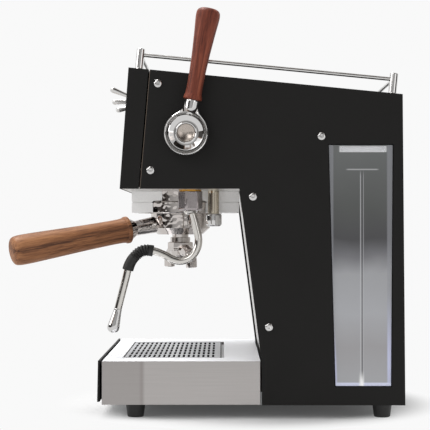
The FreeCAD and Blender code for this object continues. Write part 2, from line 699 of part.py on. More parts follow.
def make_wand():
    top = "head_base"
    nut = hexagon("23", f"{top}-1.5-207.8", "wand_x", "wand_y", "207.8")
    bore = rod("9.8", "20", "wand_x", "wand_y", "ball_z")
    cavity = ball("ball_radius+0.4", "wand_x", "wand_y", "ball_z")
    lip = rod("8", "8", "wand_x", "wand_y", "205")
    node("wand_nut", cut(nut, bore, cavity, lip))
    washer = cut(rod("11.5", "1.5", "wand_x", "wand_y", f"{top}-1.5"),
                 rod("4", "3", "wand_x", "wand_y", f"{top}-2"))
    node("wand_washer", washer)
    seat = turned(
        [("4", "4.5"), ("8.4", "4.5"), ("9.5", "5.5"), ("9.5", "12"), ("4", "12")],
        "wand_x", "wand_y", "ball_z",
    )
    node("wand_ball_seat", cut(seat, ball("ball_radius+0.3", "wand_x", "wand_y", "ball_z")))

    x = SIZES["wand_x"]
    bends = [(-61.7, 213.5), (-59.5, 205), (-51.8, 175), (-56.5, 161), (-69, 155), (-84, 160), (-98, 167.2)]
    grip_bends = [(-113, 168), (-124.2, 154)]
    tube = bent_tube([(x, y, z) for y, z in (*bends, *grip_bends, (-136.8, 105.1))], SIZES["wand_radius"], 11)
    wand = node("wand_tube", fuse(tube, ball("ball_radius", "wand_x", "wand_y", "ball_z")))
    sleeve = bent_tube([(x, y, z) for y, z in ((-100.5, 167.333), *grip_bends, (-126, 147.014))], 5.9, 11)
    node("wand_grip", cut(sleeve, wand))
    along = Vector(0, -136.8 + 124.2, 105.1 - 154).normalize()
    nozzle = turned(
        [
            ("4.1", "-6"), ("4.5", "-6"), ("5.4", "4"), ("6.4", "15"), ("6.1", "19"), ("4.4", "21.3"),
            ("0", "21.5"), ("0", "0.2"), ("4.1", "0.2"),
        ],
        "wand_x", "-136.8", "105.1", along,
    )
    node("steam_nozzle", nozzle)


def make_hot_water():
    outer = rod("5.85", "34", "60", "-38", "206.2")
    node("hot_water_spout", cut(outer, rod("3.5", "40", "60", "-38", "204")))
    cap = cut(
        fuse(rod("8", "9.6", "60", "-38", "196.6"), cone("5", "8", "4", "60", "-38", "192.6")),
        rod("5.9", "8", "60", "-38", "202"), rod("3", "20", "60", "-38", "190"),
    )
    node("hot_water_nozzle", cap)


# ---- switches -------------------------------------------------------------------------------------
def make_switches():
    out = Vector(0, -1, 0.0724).normalize()
    bushings, nuts, cases = [], [], []
    front = face("toggle_z")

    def spot(distance):
        return f"{front}+{out.y:.6f}*({distance})", f"toggle_z+{out.z:.6f}*({distance})"

    levers = (("right", "toggle_pitch", 22.1), ("middle", "0", 0.0), ("left", "-toggle_pitch", -11.9))
    for name, x, angle in levers:
        sleeve = cut(rod("5.8", "11", x, *spot("-6.5"), out), rod("4.35", "30", x, *spot("-5"), out))
        bushings.append(sleeve)
        nuts.append(cut(hexagon("14", "2.2", x, *spot("0.1"), out), rod("5.85", "6", x, *spot("-1"), out)))
        case = doc.addObject("Part::Box", "Case")
        case.Length, case.Width, case.Height = 13, 20, 17
        turn = Rotation(Vector(0, 0, 1), out)
        centre = Vector(value(x), value(spot("-24")[0]), value(spot("-24")[1]))
        case.Placement = Placement(centre - turn.multVec(Vector(6.5, 10, 0)), turn)
        cases.append(case)
        tilt = math.radians(angle)
        aim = Vector(0, -math.cos(tilt), math.sin(tilt))
        pivot = spot("0")
        lever = turned(
            [
                ("0", "-3.6"), ("2", "-3"), ("3.2", "-1.6"), ("3.6", "0"), ("3.2", "1.6"), ("2.1", "2.9"),
                ("2.2", "8"), ("3.2", "toggle_length-4"), ("3.1", "toggle_length-1.2"), ("2.2", "toggle_length"),
                ("0", "toggle_length"),
            ],
            x, *pivot, aim,
        )
        node(f"toggle_lever_{name}", lever)
    node("toggle_bushings", group(*bushings, *nuts))
    node("toggle_switches", group(*cases))

    ring = [("2.6", "-4"), ("3.3", "-4"), ("3.3", "0"), ("4.4", "0"), ("4.4", "1.6"), ("3.8", "2.4"), ("2.6", "2.4")]
    node("lamp_bezel", turned(ring, "78", face("258", "-0.35"), "258", FRONT))
    lens = [("0", "-8"), ("2.55", "-8"), ("2.55", "2"), ("1.6", "2.9"), ("0", "3.2")]
    node("lamp_lens", turned(lens, "78", face("258", "-0.35"), "258", FRONT))


# ---- tank -----------------------------------------------------------------------------------------
def make_tank():
    shell = padded("YZ_Plane", [window("tank_gap")], "tank_inner_x", "tank_outer_x")
    wall = "(tank_gap+tank_wall)"
    hollow = [
        (f"window_front_low+{wall}", f"window_low+{wall}"), (f"window_rear_low-{wall}", f"window_low+{wall}"),
        (f"window_rear_high-{wall}", "window_high+5"), (f"window_front_high+{wall}", "window_high+5"),
    ]
    pocket(shell, "YZ_Plane", [hollow], "tank_inner_x+tank_wall", "tank_outer_x-tank_wall")
    middle = "(slot_low+slot_high)/2"
    radius = "(slot_high-slot_low)/2"
    slot = fuse(
        box("125", "140", f"slot_front+{radius}", f"slot_rear-{radius}", "slot_low", "slot_high"),
        rod(radius, "15", "125", f"slot_front+{radius}", middle, RIGHT),
        rod(radius, "15", "125", f"slot_rear-{radius}", middle, RIGHT),
    )
    rib = box("tank_outer_x-tank_wall-1.5", "tank_outer_x-tank_wall+0.5", "108", "110",
              f"window_low+{wall}-1", "247")
    drain = rod("2.5", "20", "tank_inner_x-2", "spigot_y", "spigot_z", RIGHT)
    node("water_tank", cut(fuse(shell, rib), slot, drain))
    spigot = cut(
        rod("spigot_radius", "16", "tank_inner_x-16", "spigot_y", "spigot_z", RIGHT),
        rod("2.5", "30", "tank_inner_x-20", "spigot_y", "spigot_z", RIGHT),
    )
    node("tank_spigot", spigot)
    socket = cut(
        box("tank_inner_x-20", "tank_inner_x-1", "spigot_y-11", "spigot_y+11", "32.4", "spigot_z+12"),
        rod("socket_radius", "18", "tank_inner_x-16.3", "spigot_y", "spigot_z", RIGHT),
        rod("2.5", "30", "tank_inner_x-25", "spigot_y", "spigot_z", RIGHT),
    )
    node("tank_socket", socket)
    cradle_floor = box("tank_inner_x-22", "130.8", "80", "144", "29.9", "32.4")
    lips = [box("-8", "130.8", y0, y1, "30", "44") for y0, y1 in (("78", "81.4"), ("143.2", "146"))]
    stand = [box(x, f"{x}+3", "81.5", "143", "foot_height+sheet", "30") for x in ("-20", "50", "120")]
    node("tank_cradle", fuse(cradle_floor, *lips, *stand))


def make_inlet():
    flange = box("-104", "-70", "rear_skin_y+sheet", "rear_skin_y+sheet+2", "36", "64")
    case = box("-100.5", "-73.5", "125", "rear_skin_y+sheet+1", "39.5", "60.5")
    recess = box("-98.5", "-75.5", "132", "160", "41.5", "58.5")
    pins = [
        box(f"{x}-1", f"{x}+1", "132", "148", f"{z}-2", f"{z}+2")
        for x, z in ((-94, 48), (-80, 48), (-87, 52.5))
    ]
    node("power_inlet", fuse(cut(fuse(flange, case), recess), *pins))


def check(thing):
    if {"Invalid", "Error"} & set(thing.State):
        raise RuntimeError(f"{thing.Label} ({thing.Name}) is {thing.State}")


def main():
    fill_sheet()
    for make in (
        make_feet, make_base, make_drawer, make_grille, make_side_panels, make_panel_screws,
        make_front_panel, make_top_plate, make_back_and_column, make_chassis, make_gallery,
        make_group, make_brew_block, make_portafilter, make_hydraulics, make_steam_valve,
        make_wand, make_hot_water, make_switches, make_tank, make_inlet,
    ):
        make()
    doc.recompute()
    for thing in doc.Objects:
        check(thing)
    os.makedirs("parts", exist_ok=True)
    for label, thing in nodes.items():
        shape = thing.Shape
        if shape.isNull() or not shape.isValid() or not shape.Solids:
            raise RuntimeError(f"{label} has no valid shape")
        shape.exportStep(f"parts/{label}.step")
        print(f"{label}: {len(shape.Solids)} solid(s), {shape.Volume:.0f} mm3")


main()
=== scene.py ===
# %% [markdown]
# # Espresso machine
# A steel-cased machine seen from the user's right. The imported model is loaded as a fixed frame: +Z is up,
# +Y goes to the back and the unit is the metre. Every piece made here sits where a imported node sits.

import json
import math

import bmesh
import bpy
import numpy as np
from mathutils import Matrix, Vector

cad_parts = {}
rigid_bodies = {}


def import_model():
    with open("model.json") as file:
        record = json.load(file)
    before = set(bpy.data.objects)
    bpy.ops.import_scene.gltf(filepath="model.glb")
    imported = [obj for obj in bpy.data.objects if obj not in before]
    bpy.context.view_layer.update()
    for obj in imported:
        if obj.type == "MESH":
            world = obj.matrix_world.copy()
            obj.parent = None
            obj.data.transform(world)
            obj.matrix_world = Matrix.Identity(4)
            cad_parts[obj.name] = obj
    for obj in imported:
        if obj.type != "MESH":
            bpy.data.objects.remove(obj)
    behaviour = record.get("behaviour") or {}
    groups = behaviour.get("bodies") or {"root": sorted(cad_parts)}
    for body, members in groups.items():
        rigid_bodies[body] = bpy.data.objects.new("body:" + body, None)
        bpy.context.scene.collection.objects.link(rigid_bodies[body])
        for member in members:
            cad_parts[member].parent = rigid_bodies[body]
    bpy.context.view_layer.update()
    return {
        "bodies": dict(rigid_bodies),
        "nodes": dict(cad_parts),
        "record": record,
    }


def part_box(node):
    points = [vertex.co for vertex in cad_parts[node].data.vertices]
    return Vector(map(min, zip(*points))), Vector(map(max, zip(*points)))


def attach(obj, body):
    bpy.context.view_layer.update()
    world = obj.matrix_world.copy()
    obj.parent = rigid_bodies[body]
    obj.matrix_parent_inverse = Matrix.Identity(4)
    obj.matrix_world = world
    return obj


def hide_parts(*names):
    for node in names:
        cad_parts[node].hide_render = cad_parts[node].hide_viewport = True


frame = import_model()
nodes = frame["nodes"]
MM = 0.001

# %% [markdown]
# ## Camera
# A long lens, square on to the right-hand panel and a little below its middle, shows the side as flat as in
# a catalogue: the far side is only a tenth smaller than the near one.

# %% Camera
panel_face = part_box("side_panel_right")[1][0]
SENSOR = 36.0  # mm
DISTANCE = 1.33  # m from the panel
FRAME_WIDTH = 0.430  # m of the panel's plane that the view takes in
camera_data = bpy.data.cameras.new("camera")
camera_data.sensor_width = SENSOR
camera_data.lens = SENSOR * DISTANCE / FRAME_WIDTH
camera = bpy.data.objects.new("camera", camera_data)
bpy.context.scene.collection.objects.link(camera)
eye = Vector((panel_face + DISTANCE, -0.028, 0.191))
aim = Vector((panel_face, -0.036, 0.204))
camera.location = eye
camera.rotation_euler = (aim - eye).to_track_quat("-Z", "Y").to_euler()
bpy.context.scene.camera = camera
print("camera:", round(camera_data.lens, 1), "mm lens")

# %% [markdown]
# ## Shape tools
# ### Surfaces from a grid of points
# Most pieces here are turned, bent or moulded, so each is a surface over two parameters: how far along it
# is and how far round. Blender's own cylinders could be edited by hand, but arrays state the shape once,
# exactly. Edges that turn by more than 38 degrees stay sharp, and the rest is shaded smooth.


# %% Surfaces from a grid of points
SHARP_DEGREES = 38


def grid_mesh(name, points, wrap_along=False, cap=True):
    """A mesh from points[i, j]: i goes along and j goes round. Ends are closed with one flat face each, and a
    shell whose signed volume is negative is turned inside out."""
    rows, columns = points.shape[:2]
    index = np.arange(rows * columns).reshape(rows, columns)
    across = np.roll(index, -1, axis=1)
    faces = np.stack([index[:-1], across[:-1], across[1:], index[1:]], axis=-1).reshape(-1, 4).tolist()
    if wrap_along:
        faces += np.stack([index[-1], across[-1], across[0], index[0]], axis=-1).tolist()
    elif cap:
        faces += [index[0, ::-1].tolist(), index[-1].tolist()]
    mesh = bpy.data.meshes.new(name)
    mesh.from_pydata(points.reshape(-1, 3).tolist(), [], faces)
    shell = bmesh.new()
    shell.from_mesh(mesh)
    if cap and shell.calc_volume(signed=True) < 0:
        bmesh.ops.reverse_faces(shell, faces=shell.faces)
    shell.to_mesh(mesh)
    shell.free()
    made = bpy.data.objects.new(name, mesh)
    bpy.context.scene.collection.objects.link(made)
    mesh.polygons.foreach_set("use_smooth", np.ones(len(mesh.polygons), dtype=bool))
    mesh.set_sharp_from_angle(angle=math.radians(SHARP_DEGREES))
    return made


# %% [markdown]
# ### Turned pieces
# A lathe makes grips, posts, feet and nuts: a profile of (distance along the axis, radius) is carried round
# a line. Real edges are broken, so the profile's corners are rounded first. Six segments make a hexagon
# nut.


# %% Turned pieces
def frame_of(direction):
    """Three unit vectors: two across a direction, and the direction."""
    along = np.array(direction, dtype=float)
    along /= np.linalg.norm(along)
    helper = np.array([1.0, 0, 0]) if abs(along[0]) < 0.9 else np.array([0, 1.0, 0])
    side = np.cross(helper, along)
    side /= np.linalg.norm(side)
    return side, np.cross(along, side), along


def rounded(profile, steps=6, radius=0.8):
    """The profile with each inner corner swapped for a quadratic curve that starts up to radius away."""
    points = np.array(profile, dtype=float)
    out = [points[0]]
    for before, corner, after in zip(points, points[1:], points[2:]):
        back, forth = before - corner, after - corner
        reach_back = min(radius, np.linalg.norm(back) / 2) * back / np.linalg.norm(back)
        reach_forth = min(radius, np.linalg.norm(forth) / 2) * forth / np.linalg.norm(forth)
        t = np.linspace(0, 1, steps)[:, None]
        start, end = corner + reach_back, corner + reach_forth
        out.extend((1 - t) ** 2 * start + 2 * t * (1 - t) * corner + t ** 2 * end)
    out.append(points[-1])
    return np.array(out)


def lathe(name, profile, origin, direction, segments=64, phase=0.0):
    """A turned piece: point = origin + along * a + radius * (side * cos + up * sin), in millimetres."""
    side, up, along = frame_of(direction)
    shape = np.array(profile, dtype=float)
    turn = np.linspace(0, 2 * np.pi, segments, endpoint=False) + phase
    ring = np.cos(turn)[:, None] * side + np.sin(turn)[:, None] * up
    centre = np.array(origin, dtype=float) + shape[:, :1] * along
    points = centre[:, None, :] + shape[:, 1][:, None, None] * ring[None]
    return grid_mesh(name, points * MM)


# %% [markdown]
# ### Bent tubes
# A bent tube is a circle carried along a path. The path passes through a few corners as a smooth curve, and
# its radius may change on the way, as in the ribbed sleeve of the wand.


# %% Bent tubes
def smooth_path(corners, count):
    """A Catmull-Rom curve through the corners, sampled at count points: each span is a cubic."""
    p = np.array(corners, dtype=float)
    p = np.vstack([2 * p[0] - p[1], p, 2 * p[-1] - p[-2]])
    spans = len(p) - 3
    t = np.linspace(0, spans - 1e-9, count)
    k = t.astype(int)
    u = (t - k)[:, None]
    a, b, c, d = p[k], p[k + 1], p[k + 2], p[k + 3]
    square, cube = 2 * a - 5 * b + 4 * c - d, 3 * b - a - 3 * c + d
    return 0.5 * (2 * b + (c - a) * u + square * u ** 2 + cube * u ** 3)


def swept(name, path, radii, segments=32, across=(1.0, 0, 0)):
    """A tube: rings of given radii square to the path, each turned so that one side stays near `across`."""
    path = np.array(path, dtype=float)
    along = np.gradient(path, axis=0)
    along /= np.linalg.norm(along, axis=1, keepdims=True)
    side = np.array(across) - along * (along @ np.array(across))[:, None]
    side /= np.linalg.norm(side, axis=1, keepdims=True)
    up = np.cross(along, side)
    turn = np.linspace(0, 2 * np.pi, segments, endpoint=False)
    radii = np.broadcast_to(np.array(radii, dtype=float), (len(path),))
    points = path[:, None] + radii[:, None, None] * (
        np.cos(turn)[None, :, None] * side[:, None] + np.sin(turn)[None, :, None] * up[:, None]
    )
    return grid_mesh(name, points * MM)


# %% [markdown]
# ### Joining and handing over
# Pieces of one material and one body become one object. Each finished piece then gets its finish and the body
# it moves with, and the plain nodes that it stands for are hidden.


# %% Joining and handing over
def joined(name, pieces):
    """Several pieces as one object."""
    bpy.ops.object.select_all(action="DESELECT")
    for piece in pieces:
        piece.select_set(True)
    bpy.context.view_layer.objects.active = pieces[0]
    bpy.ops.object.join()
    pieces[0].name = name
    return pieces[0]


def finish_piece(piece, coat, body, slot, *stands_for):
    """Gives a piece its finish and its body, and hides the plain nodes that it stands for. Its slot is not
    used.
    """
    piece.data.materials.append(coat)
    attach(piece, body)
    if stands_for:
        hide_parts(*stands_for)
    print(piece.name, "rides on", body, "with", len(piece.data.polygons), "faces")


# %% [markdown]
# ## Studio
# A white room: a pale round floor, a white world and large soft lamps. Polished metal shows what is
# around it, so the room that polish sees is drawn apart from the one that lights matt paint. Every shader
# node is added by one function, and another feeds inputs, so that a finish reads as a list of what feeds
# what.

# %% Colour and node helpers
RAMP, RANGE, NOISE = "ShaderNodeValToRGB", "ShaderNodeMapRange", "ShaderNodeTexNoise"
MIX, MATH, BUMP = "ShaderNodeMix", "ShaderNodeMath", "ShaderNodeBump"


def linear(code):
    """An sRGB hex code as linear red, green, blue and an alpha of 1."""
    parts = [int(code[i:i + 2], 16) / 255 for i in (0, 2, 4)]
    return tuple(p / 12.92 if p <= 0.04045 else ((p + 0.055) / 1.055) ** 2.4 for p in parts) + (1.0,)


def grey(value):
    return (value, value, value, 1.0)


def shades(code, *factors):
    """The colour of a hex code, darker or lighter by each factor."""
    return [tuple(min(1.0, part * factor) for part in linear(code)[:3]) + (1.0,) for factor in factors]


def plug(tree, target, links):
    """Feeds inputs of a node. A source is a socket, or a node whose first output is meant."""
    for name, source in links.items():
        socket = source.outputs[0] if isinstance(source, bpy.types.Node) else source
        tree.links.new(socket, target.inputs[name])


def node(tree, kind, links=None, values=None, stops=(), **settings):
    """Adds one shader node: links feed its inputs, values set them by number, stops are the places and
    colours of a colour ramp, and settings are properties or inputs by name."""
    made = tree.nodes.new(kind)
    for name, value in settings.items():
        if name in made.bl_rna.properties:
            setattr(made, name, value)
        else:
            made.inputs[name.replace("_", " ")].default_value = value
    for number, value in (values or {}).items():
        made.inputs[number].default_value = value
    while stops and len(made.color_ramp.elements) < len(stops):
        made.color_ramp.elements.new(0.5)
    for element, (place, colour) in zip(made.color_ramp.elements if stops else (), stops):
        element.position = place
        element.color = colour
    plug(tree, made, links or {})
    return made


def material(name, **sockets):
    """A new Principled material, its node tree and its shader, whose constants go on its own sockets."""
    made = bpy.data.materials.new(name)
    made.use_nodes = True
    tree = made.node_tree
    shader = tree.nodes["Principled BSDF"]
    for key, value in sockets.items():
        shader.inputs[key.replace("_", " ")].default_value = value
    print("finish:", name)
    return made, tree, shader


# %% [markdown]
# ### Places and masks
# Patterns are fixed to the pieces by Object coordinates, in metres. A mask is a band of one or more of them
# with soft edges, and paints a second colour where a real part changes: an edge, a seam, a moulded mark.


# %% Places and masks
def object_pattern(tree, scale=(1, 1, 1), turn=(0, 0, 0)):
    """Object coordinates, turned and stretched by a Mapping node."""
    place = node(tree, "ShaderNodeTexCoord").outputs["Object"]
    return node(tree, "ShaderNodeMapping", {"Vector": place}, Scale=scale, Rotation=turn)


def object_axes(tree):
    """The X, Y and Z of Object coordinates, apart."""
    place = node(tree, "ShaderNodeTexCoord").outputs["Object"]
    return node(tree, "ShaderNodeSeparateXYZ", {"Vector": place}).outputs


def facing_up(tree):
    """How far the surface faces up: the Z of its normal."""
    normal = node(tree, "ShaderNodeNewGeometry").outputs["Normal"]
    return node(tree, "ShaderNodeSeparateXYZ", {"Vector": normal}).outputs["Z"]


def patch(tree, *bands):
    """1 where each value is between low and high millimetres and 0 outside, with edges that fade over soft:
    two smooth steps a band, all multiplied."""
    mask = None
    for value, low, high, soft in bands:
        rise = node(tree, RANGE, {"Value": value}, interpolation_type="SMOOTHSTEP",
                    From_Min=(low - soft) * MM, From_Max=(low + soft) * MM)
        fall = node(tree, RANGE, {"Value": value}, interpolation_type="SMOOTHSTEP",
                    From_Min=(high - soft) * MM, From_Max=(high + soft) * MM, To_Min=1.0, To_Max=0.0)
        inside = node(tree, MATH, {0: rise, 1: fall}, operation="MULTIPLY")
        mask = inside if mask is None else node(tree, MATH, {0: mask, 1: inside}, operation="MULTIPLY")
    return mask


def laid_over(tree, under, mask, code, strength=1.0):
    """One colour laid over another where a mask is 1."""
    held = node(tree, MATH, {0: mask}, {1: strength}, operation="MULTIPLY")
    return node(tree, MIX, {0: held, 6: under}, {7: linear(code)}, data_type="RGBA").outputs[2]


# %% [markdown]
# ### World
# The eye sees an even near-white backdrop. Matt paint is lit a little less. Polish sees a made-up room:
# pale behind the machine, dark flanks that draw the black lines of chrome, a bright soft box each side of
# the middle, a pale ceiling, and soft brown and black patches like furniture.

# %% World
world = bpy.data.worlds.new("studio")
world.use_nodes = True
bpy.context.scene.world = world
bpy.context.scene.view_settings.view_transform = "Standard"
BACKDROP, BACKDROP_STRENGTH = "fafafa", 0.99
sky = world.node_tree
backdrop = sky.nodes["Background"]
backdrop.inputs["Color"].default_value = linear(BACKDROP)
backdrop.inputs["Strength"].default_value = BACKDROP_STRENGTH
way = node(sky, "ShaderNodeTexCoord").outputs["Generated"]
toward = node(sky, "ShaderNodeSeparateXYZ", {"Vector": way}).outputs
sideways = node(sky, RANGE, {"Value": toward["X"]}, From_Min=-1.0)
height = node(sky, RANGE, {"Value": toward["Z"]}, From_Min=-1.0)
flanks = node(sky, RAMP, {"Fac": sideways}, stops=[
    (0.0, grey(0.95)), (0.38, grey(0.95)), (0.44, grey(0.05)), (0.70, grey(0.03)), (0.76, grey(1.25)),
    (0.88, grey(1.2)), (0.92, grey(0.30)), (1.0, grey(0.52))])
overhead = node(sky, RAMP, {"Fac": height}, stops=[(0.76, grey(0.0)), (0.84, grey(1.0))])
seen = node(sky, MIX, {0: overhead, 6: flanks}, {7: grey(1.0)}, data_type="RGBA").outputs[2]
patches = node(sky, NOISE, {"Vector": way}, Scale=2.6, Detail=1.5, Distortion=0.5)
furniture = node(sky, RAMP, {"Fac": patches}, stops=[
    (0.40, (0.05, 0.035, 0.03, 1.0)), (0.45, (0.35, 0.25, 0.19, 1.0)), (0.49, grey(0.95)), (0.60, grey(1.0))])
behind = node(sky, RAMP, {"Fac": sideways}, stops=[
    (0.30, grey(0.0)), (0.40, grey(0.85)), (0.90, grey(0.85)), (0.96, grey(0.3))])
furnished = node(sky, MIX, {0: behind, 6: seen, 7: furniture}, data_type="RGBA",
                 blend_type="MULTIPLY").outputs[2]
angle = node(sky, MATH, {0: toward["Z"], 1: toward["Y"]}, operation="ARCTAN2")
thrice = node(sky, MATH, {0: angle}, {1: 3.0}, operation="MULTIPLY")
wave = node(sky, RANGE, {"Value": node(sky, MATH, {0: thrice}, operation="COSINE")}, From_Min=-1.0)
bars = node(sky, RAMP, {"Fac": wave}, stops=[
    (0.30, (0.02, 0.015, 0.012, 1.0)), (0.40, (0.30, 0.19, 0.13, 1.0)), (0.44, grey(1.0))])
reach = node(sky, RAMP, {"Fac": sideways}, stops=[
    (0.60, grey(0.0)), (0.68, grey(0.95)), (0.90, grey(0.95)), (0.95, grey(0.0))])
windows = node(sky, MIX, {0: reach, 6: furnished, 7: bars}, data_type="RGBA",
               blend_type="MULTIPLY").outputs[2]
polish = node(sky, "ShaderNodeBackground", {"Color": windows}, Strength=1.05)
fill = node(sky, "ShaderNodeBackground", Color=linear(BACKDROP), Strength=0.86)
rays = node(sky, "ShaderNodeLightPath").outputs
choose = node(sky, "ShaderNodeMixShader", {0: rays["Is Glossy Ray"], 1: backdrop, 2: polish})
dim = node(sky, "ShaderNodeMixShader", {0: rays["Is Diffuse Ray"], 1: choose, 2: fill})
plug(sky, sky.nodes["World Output"], {"Surface": dim})
print("world:", len(sky.nodes), "nodes")

# %% [markdown]
# ### Floor and lamps
# The floor has to hold a soft contact shadow and still melt into the backdrop. White paint does the first,
# with a faint painted glow that lightens the shadow at the feet, and it turns into a glow of the backdrop's
# own colour a little way out from the feet.


# %% Floor and lamps
def make_floor(reach=30.0, rings=24, spokes=64):
    """A round floor: a point at turn t is radius * (cos t, sin t), and the radius grows with the square."""
    turn = np.linspace(0, 2 * np.pi, spokes, endpoint=False)
    radius = np.linspace(0, 1, rings) ** 2 * reach
    points = np.stack([
        radius[:, None] * np.cos(turn), radius[:, None] * np.sin(turn), np.zeros((rings, spokes))
    ], axis=-1)
    made = grid_mesh("floor", points, cap=False)
    coat, tree, shader = material("matt_white_floor", Base_Color=linear("d9d9d9"), Roughness=0.95)
    place = node(tree, "ShaderNodeTexCoord").outputs["Object"]
    length = node(tree, "ShaderNodeVectorMath", {0: place}, operation="LENGTH").outputs["Value"]
    outward = node(tree, RANGE, {"Value": length}, interpolation_type="SMOOTHSTEP", From_Min=0.150,
                   From_Max=0.215)
    # The faint grey glow at the feet is painted light that lightens the contact shadow.
    glow = node(tree, RAMP, {"Fac": outward}, stops=[(0.0, grey(0.045)), (1.0, grey(1.0))])
    bright = node(tree, "ShaderNodeEmission", Color=linear(BACKDROP), Strength=BACKDROP_STRENGTH)
    both = node(tree, "ShaderNodeMixShader", {0: glow, 1: shader, 2: bright})
    plug(tree, tree.nodes["Material Output"], {"Surface": both})
    made.data.materials.append(coat)


make_floor()
for name, place, target, size, power in (
    ("key", (1.7, -1.0, 1.3), (0, 0, 0.2), (0.9, 0.9), 5),
    ("top", (-0.3, -0.7, 2.0), (0, 0, 0.1), (1.0, 1.0), 36),
    ("front", (0.5, -1.7, 0.8), (0, -0.05, 0.05), (0.9, 0.6), 7),
    ("fill", (1.8, 1.4, 0.9), (0, 0, 0.2), (1.0, 1.4), 3),
):
    data = bpy.data.lights.new(name, "AREA")
    data.shape = "RECTANGLE"
    data.size, data.size_y = size
    data.energy = power
    lamp = bpy.data.objects.new(name, data)
    lamp.location = place
    lamp.rotation_euler = (Vector(target) - Vector(place)).to_track_quat("-Z", "Y").to_euler()
    bpy.context.scene.collection.objects.link(lamp)
    print("lamp:", name, power, "W")

# %% [markdown]
# ## Finishes
# Each finish is named for the real material. Grain sizes are in millimetres, and what is too fine to show
# at this distance is drawn a little coarser.
#
# ### Powder coat
# The case is folded steel, sprayed with polyester powder and baked. The powder flows into a black skin with
# a fine leathery grain, which keeps its gloss low and uneven. Noise draws the grain in colour and height,
# and a wide slow noise changes the gloss. Along the side panels' front edge a thin grey-brown line is
# painted: a painted highlight where the rounded edge catches light.


# %% Powder coat
def powder_coat(name, code):
    """A black skin whose grain, really about 0.6 mm, is drawn 0.9 mm wide so that it shows."""
    coat, tree, shader = material(name, Roughness=0.55, IOR=1.5, Specular_IOR_Level=0.22)
    place = object_pattern(tree)
    grain = node(tree, NOISE, {"Vector": place}, Scale=1000 / 0.9, Detail=3.0, Roughness=0.6)
    drift = node(tree, NOISE, {"Vector": place}, Scale=14.0, Detail=2.0)
    low, high = shades(code, 0.8, 1.7)
    plug(tree, shader, {
        "Base Color": node(tree, RAMP, {"Fac": grain}, stops=[(0.3, low), (0.7, high)]),
        "Roughness": node(tree, RAMP, {"Fac": drift}, stops=[(0.3, grey(0.5)), (0.7, grey(0.62))]),
        "Normal": node(tree, BUMP, {"Height": grain}, Distance=0.08 * MM, Strength=0.6),
    })
    return coat


def painted_edge_highlight(coat):
    """Painted highlight: a grey-brown light line along the leaning front edge, where Y = front + Z * slope.
    """
    tree, shader = coat.node_tree, coat.node_tree.nodes["Principled BSDF"]
    place = object_axes(tree)
    lean = node(tree, MATH, {0: place["Z"], 2: place["Y"]}, {1: -0.0837}, operation="MULTIPLY_ADD")
    edge = patch(tree, (lean, -131.3, -130.2, 0.25), (place["Z"], 231, 400, 1))
    under = shader.inputs["Base Color"].links[0].from_socket
    plug(tree, shader, {"Base Color": laid_over(tree, under, edge, "8a7a6c", 0.6)})
    return coat


# The side sheets carry the painted highlight along their front edge.
PANEL_BLACK = painted_edge_highlight(powder_coat("powder_coated_side_sheet", "0f0e0d"))
POWDER_BLACK = powder_coat("powder_coated_steel", "0f0e0d")

# %% [markdown]
# ### Brushed stainless steel
# Sheet run under an abrasive belt has hair lines along one direction, which stretch highlights across them.
# Noise squeezed across the lines and drawn out along them gives both the streaks and their roughness. Flat
# tops mirror the pale ceiling, and that is painted: a paler colour where the surface faces up is a painted
# reflection.


# %% Brushed stainless steel
def brushed_steel(name, code, along, roughness=(0.26, 0.36)):
    """Hair lines along one axis, drawn 0.55 mm apart."""
    coat, tree, shader = material(name, Metallic=1.0, Anisotropic=0.5)
    scale = [1000 / 0.55] * 3
    scale["xyz".index(along)] = 14.0
    lines = node(tree, NOISE, {"Vector": object_pattern(tree, scale)}, Scale=1.0, Detail=3.0)
    cloud = node(tree, NOISE, {"Vector": object_pattern(tree)}, Scale=9.0, Detail=2.0)
    low, high = shades(code, 0.95, 1.04)
    streaks = node(tree, RAMP, {"Fac": lines}, stops=[(0.3, low), (0.7, high)])
    tint = node(tree, RAMP, {"Fac": cloud}, stops=[(0.3, grey(0.95)), (0.75, grey(1.0))])
    dull, bright = grey(roughness[0]), grey(roughness[1])
    plug(tree, shader, {
        "Base Color": node(tree, MIX, {6: streaks, 7: tint}, {0: 1.0}, data_type="RGBA",
                           blend_type="MULTIPLY").outputs[2],
        "Roughness": node(tree, RAMP, {"Fac": lines}, stops=[(0.3, dull), (0.7, bright)]),
        "Normal": node(tree, BUMP, {"Height": lines}, Distance=0.006 * MM, Strength=0.4),
    })
    return coat


def painted_light_by_facing(coat, code, side_metallic, top_metallic, side_code=None):
    """Painted light and shade by facing: one colour where the surface faces up, and the sheet's own, or a
    second, on its sides.
    """
    tree, shader = coat.node_tree, coat.node_tree.nodes["Principled BSDF"]
    upward = facing_up(tree)
    is_top = node(tree, RAMP, {"Fac": upward}, stops=[(0.35, grey(0.0)), (0.75, grey(1.0))])
    links = {0: is_top} if side_code else {0: is_top, 6: shader.inputs["Base Color"].links[0].from_socket}
    values = {6: linear(side_code), 7: linear(code)} if side_code else {7: linear(code)}
    plug(tree, shader, {
        "Base Color": node(tree, MIX, links, values, data_type="RGBA").outputs[2],
        "Metallic": node(tree, RAMP, {"Fac": upward},
                         stops=[(0.35, grey(side_metallic)), (0.75, grey(top_metallic))]),
    })
    return coat


def painted_flank_reflection(coat):
    """A painted reflection: the base's flanks mirror the dark front of a room, painted as a darker stretch at
    the front with a darker edge.
    """
    tree, shader = coat.node_tree, coat.node_tree.nodes["Principled BSDF"]
    depth = object_axes(tree)["Y"]
    flank = node(tree, RANGE, {"Value": facing_up(tree)}, From_Min=0.3, From_Max=0.6, To_Min=1.0, To_Max=0.0)
    tone = shader.inputs["Base Color"].links[0].from_socket
    # Painted reflection: two darker bands on the flanks toward the front.
    for low, high, soft, code, strength in (
        (-200, -109, 4.0, "8d8886", 0.4), (-111, -107.5, 2.0, "6f6460", 0.32),
    ):
        held = node(tree, MATH, {0: patch(tree, (depth, low, high, soft)), 1: flank}, operation="MULTIPLY")
        tone = laid_over(tree, tone, held, code, strength)
    plug(tree, shader, {"Base Color": tone})
    return coat
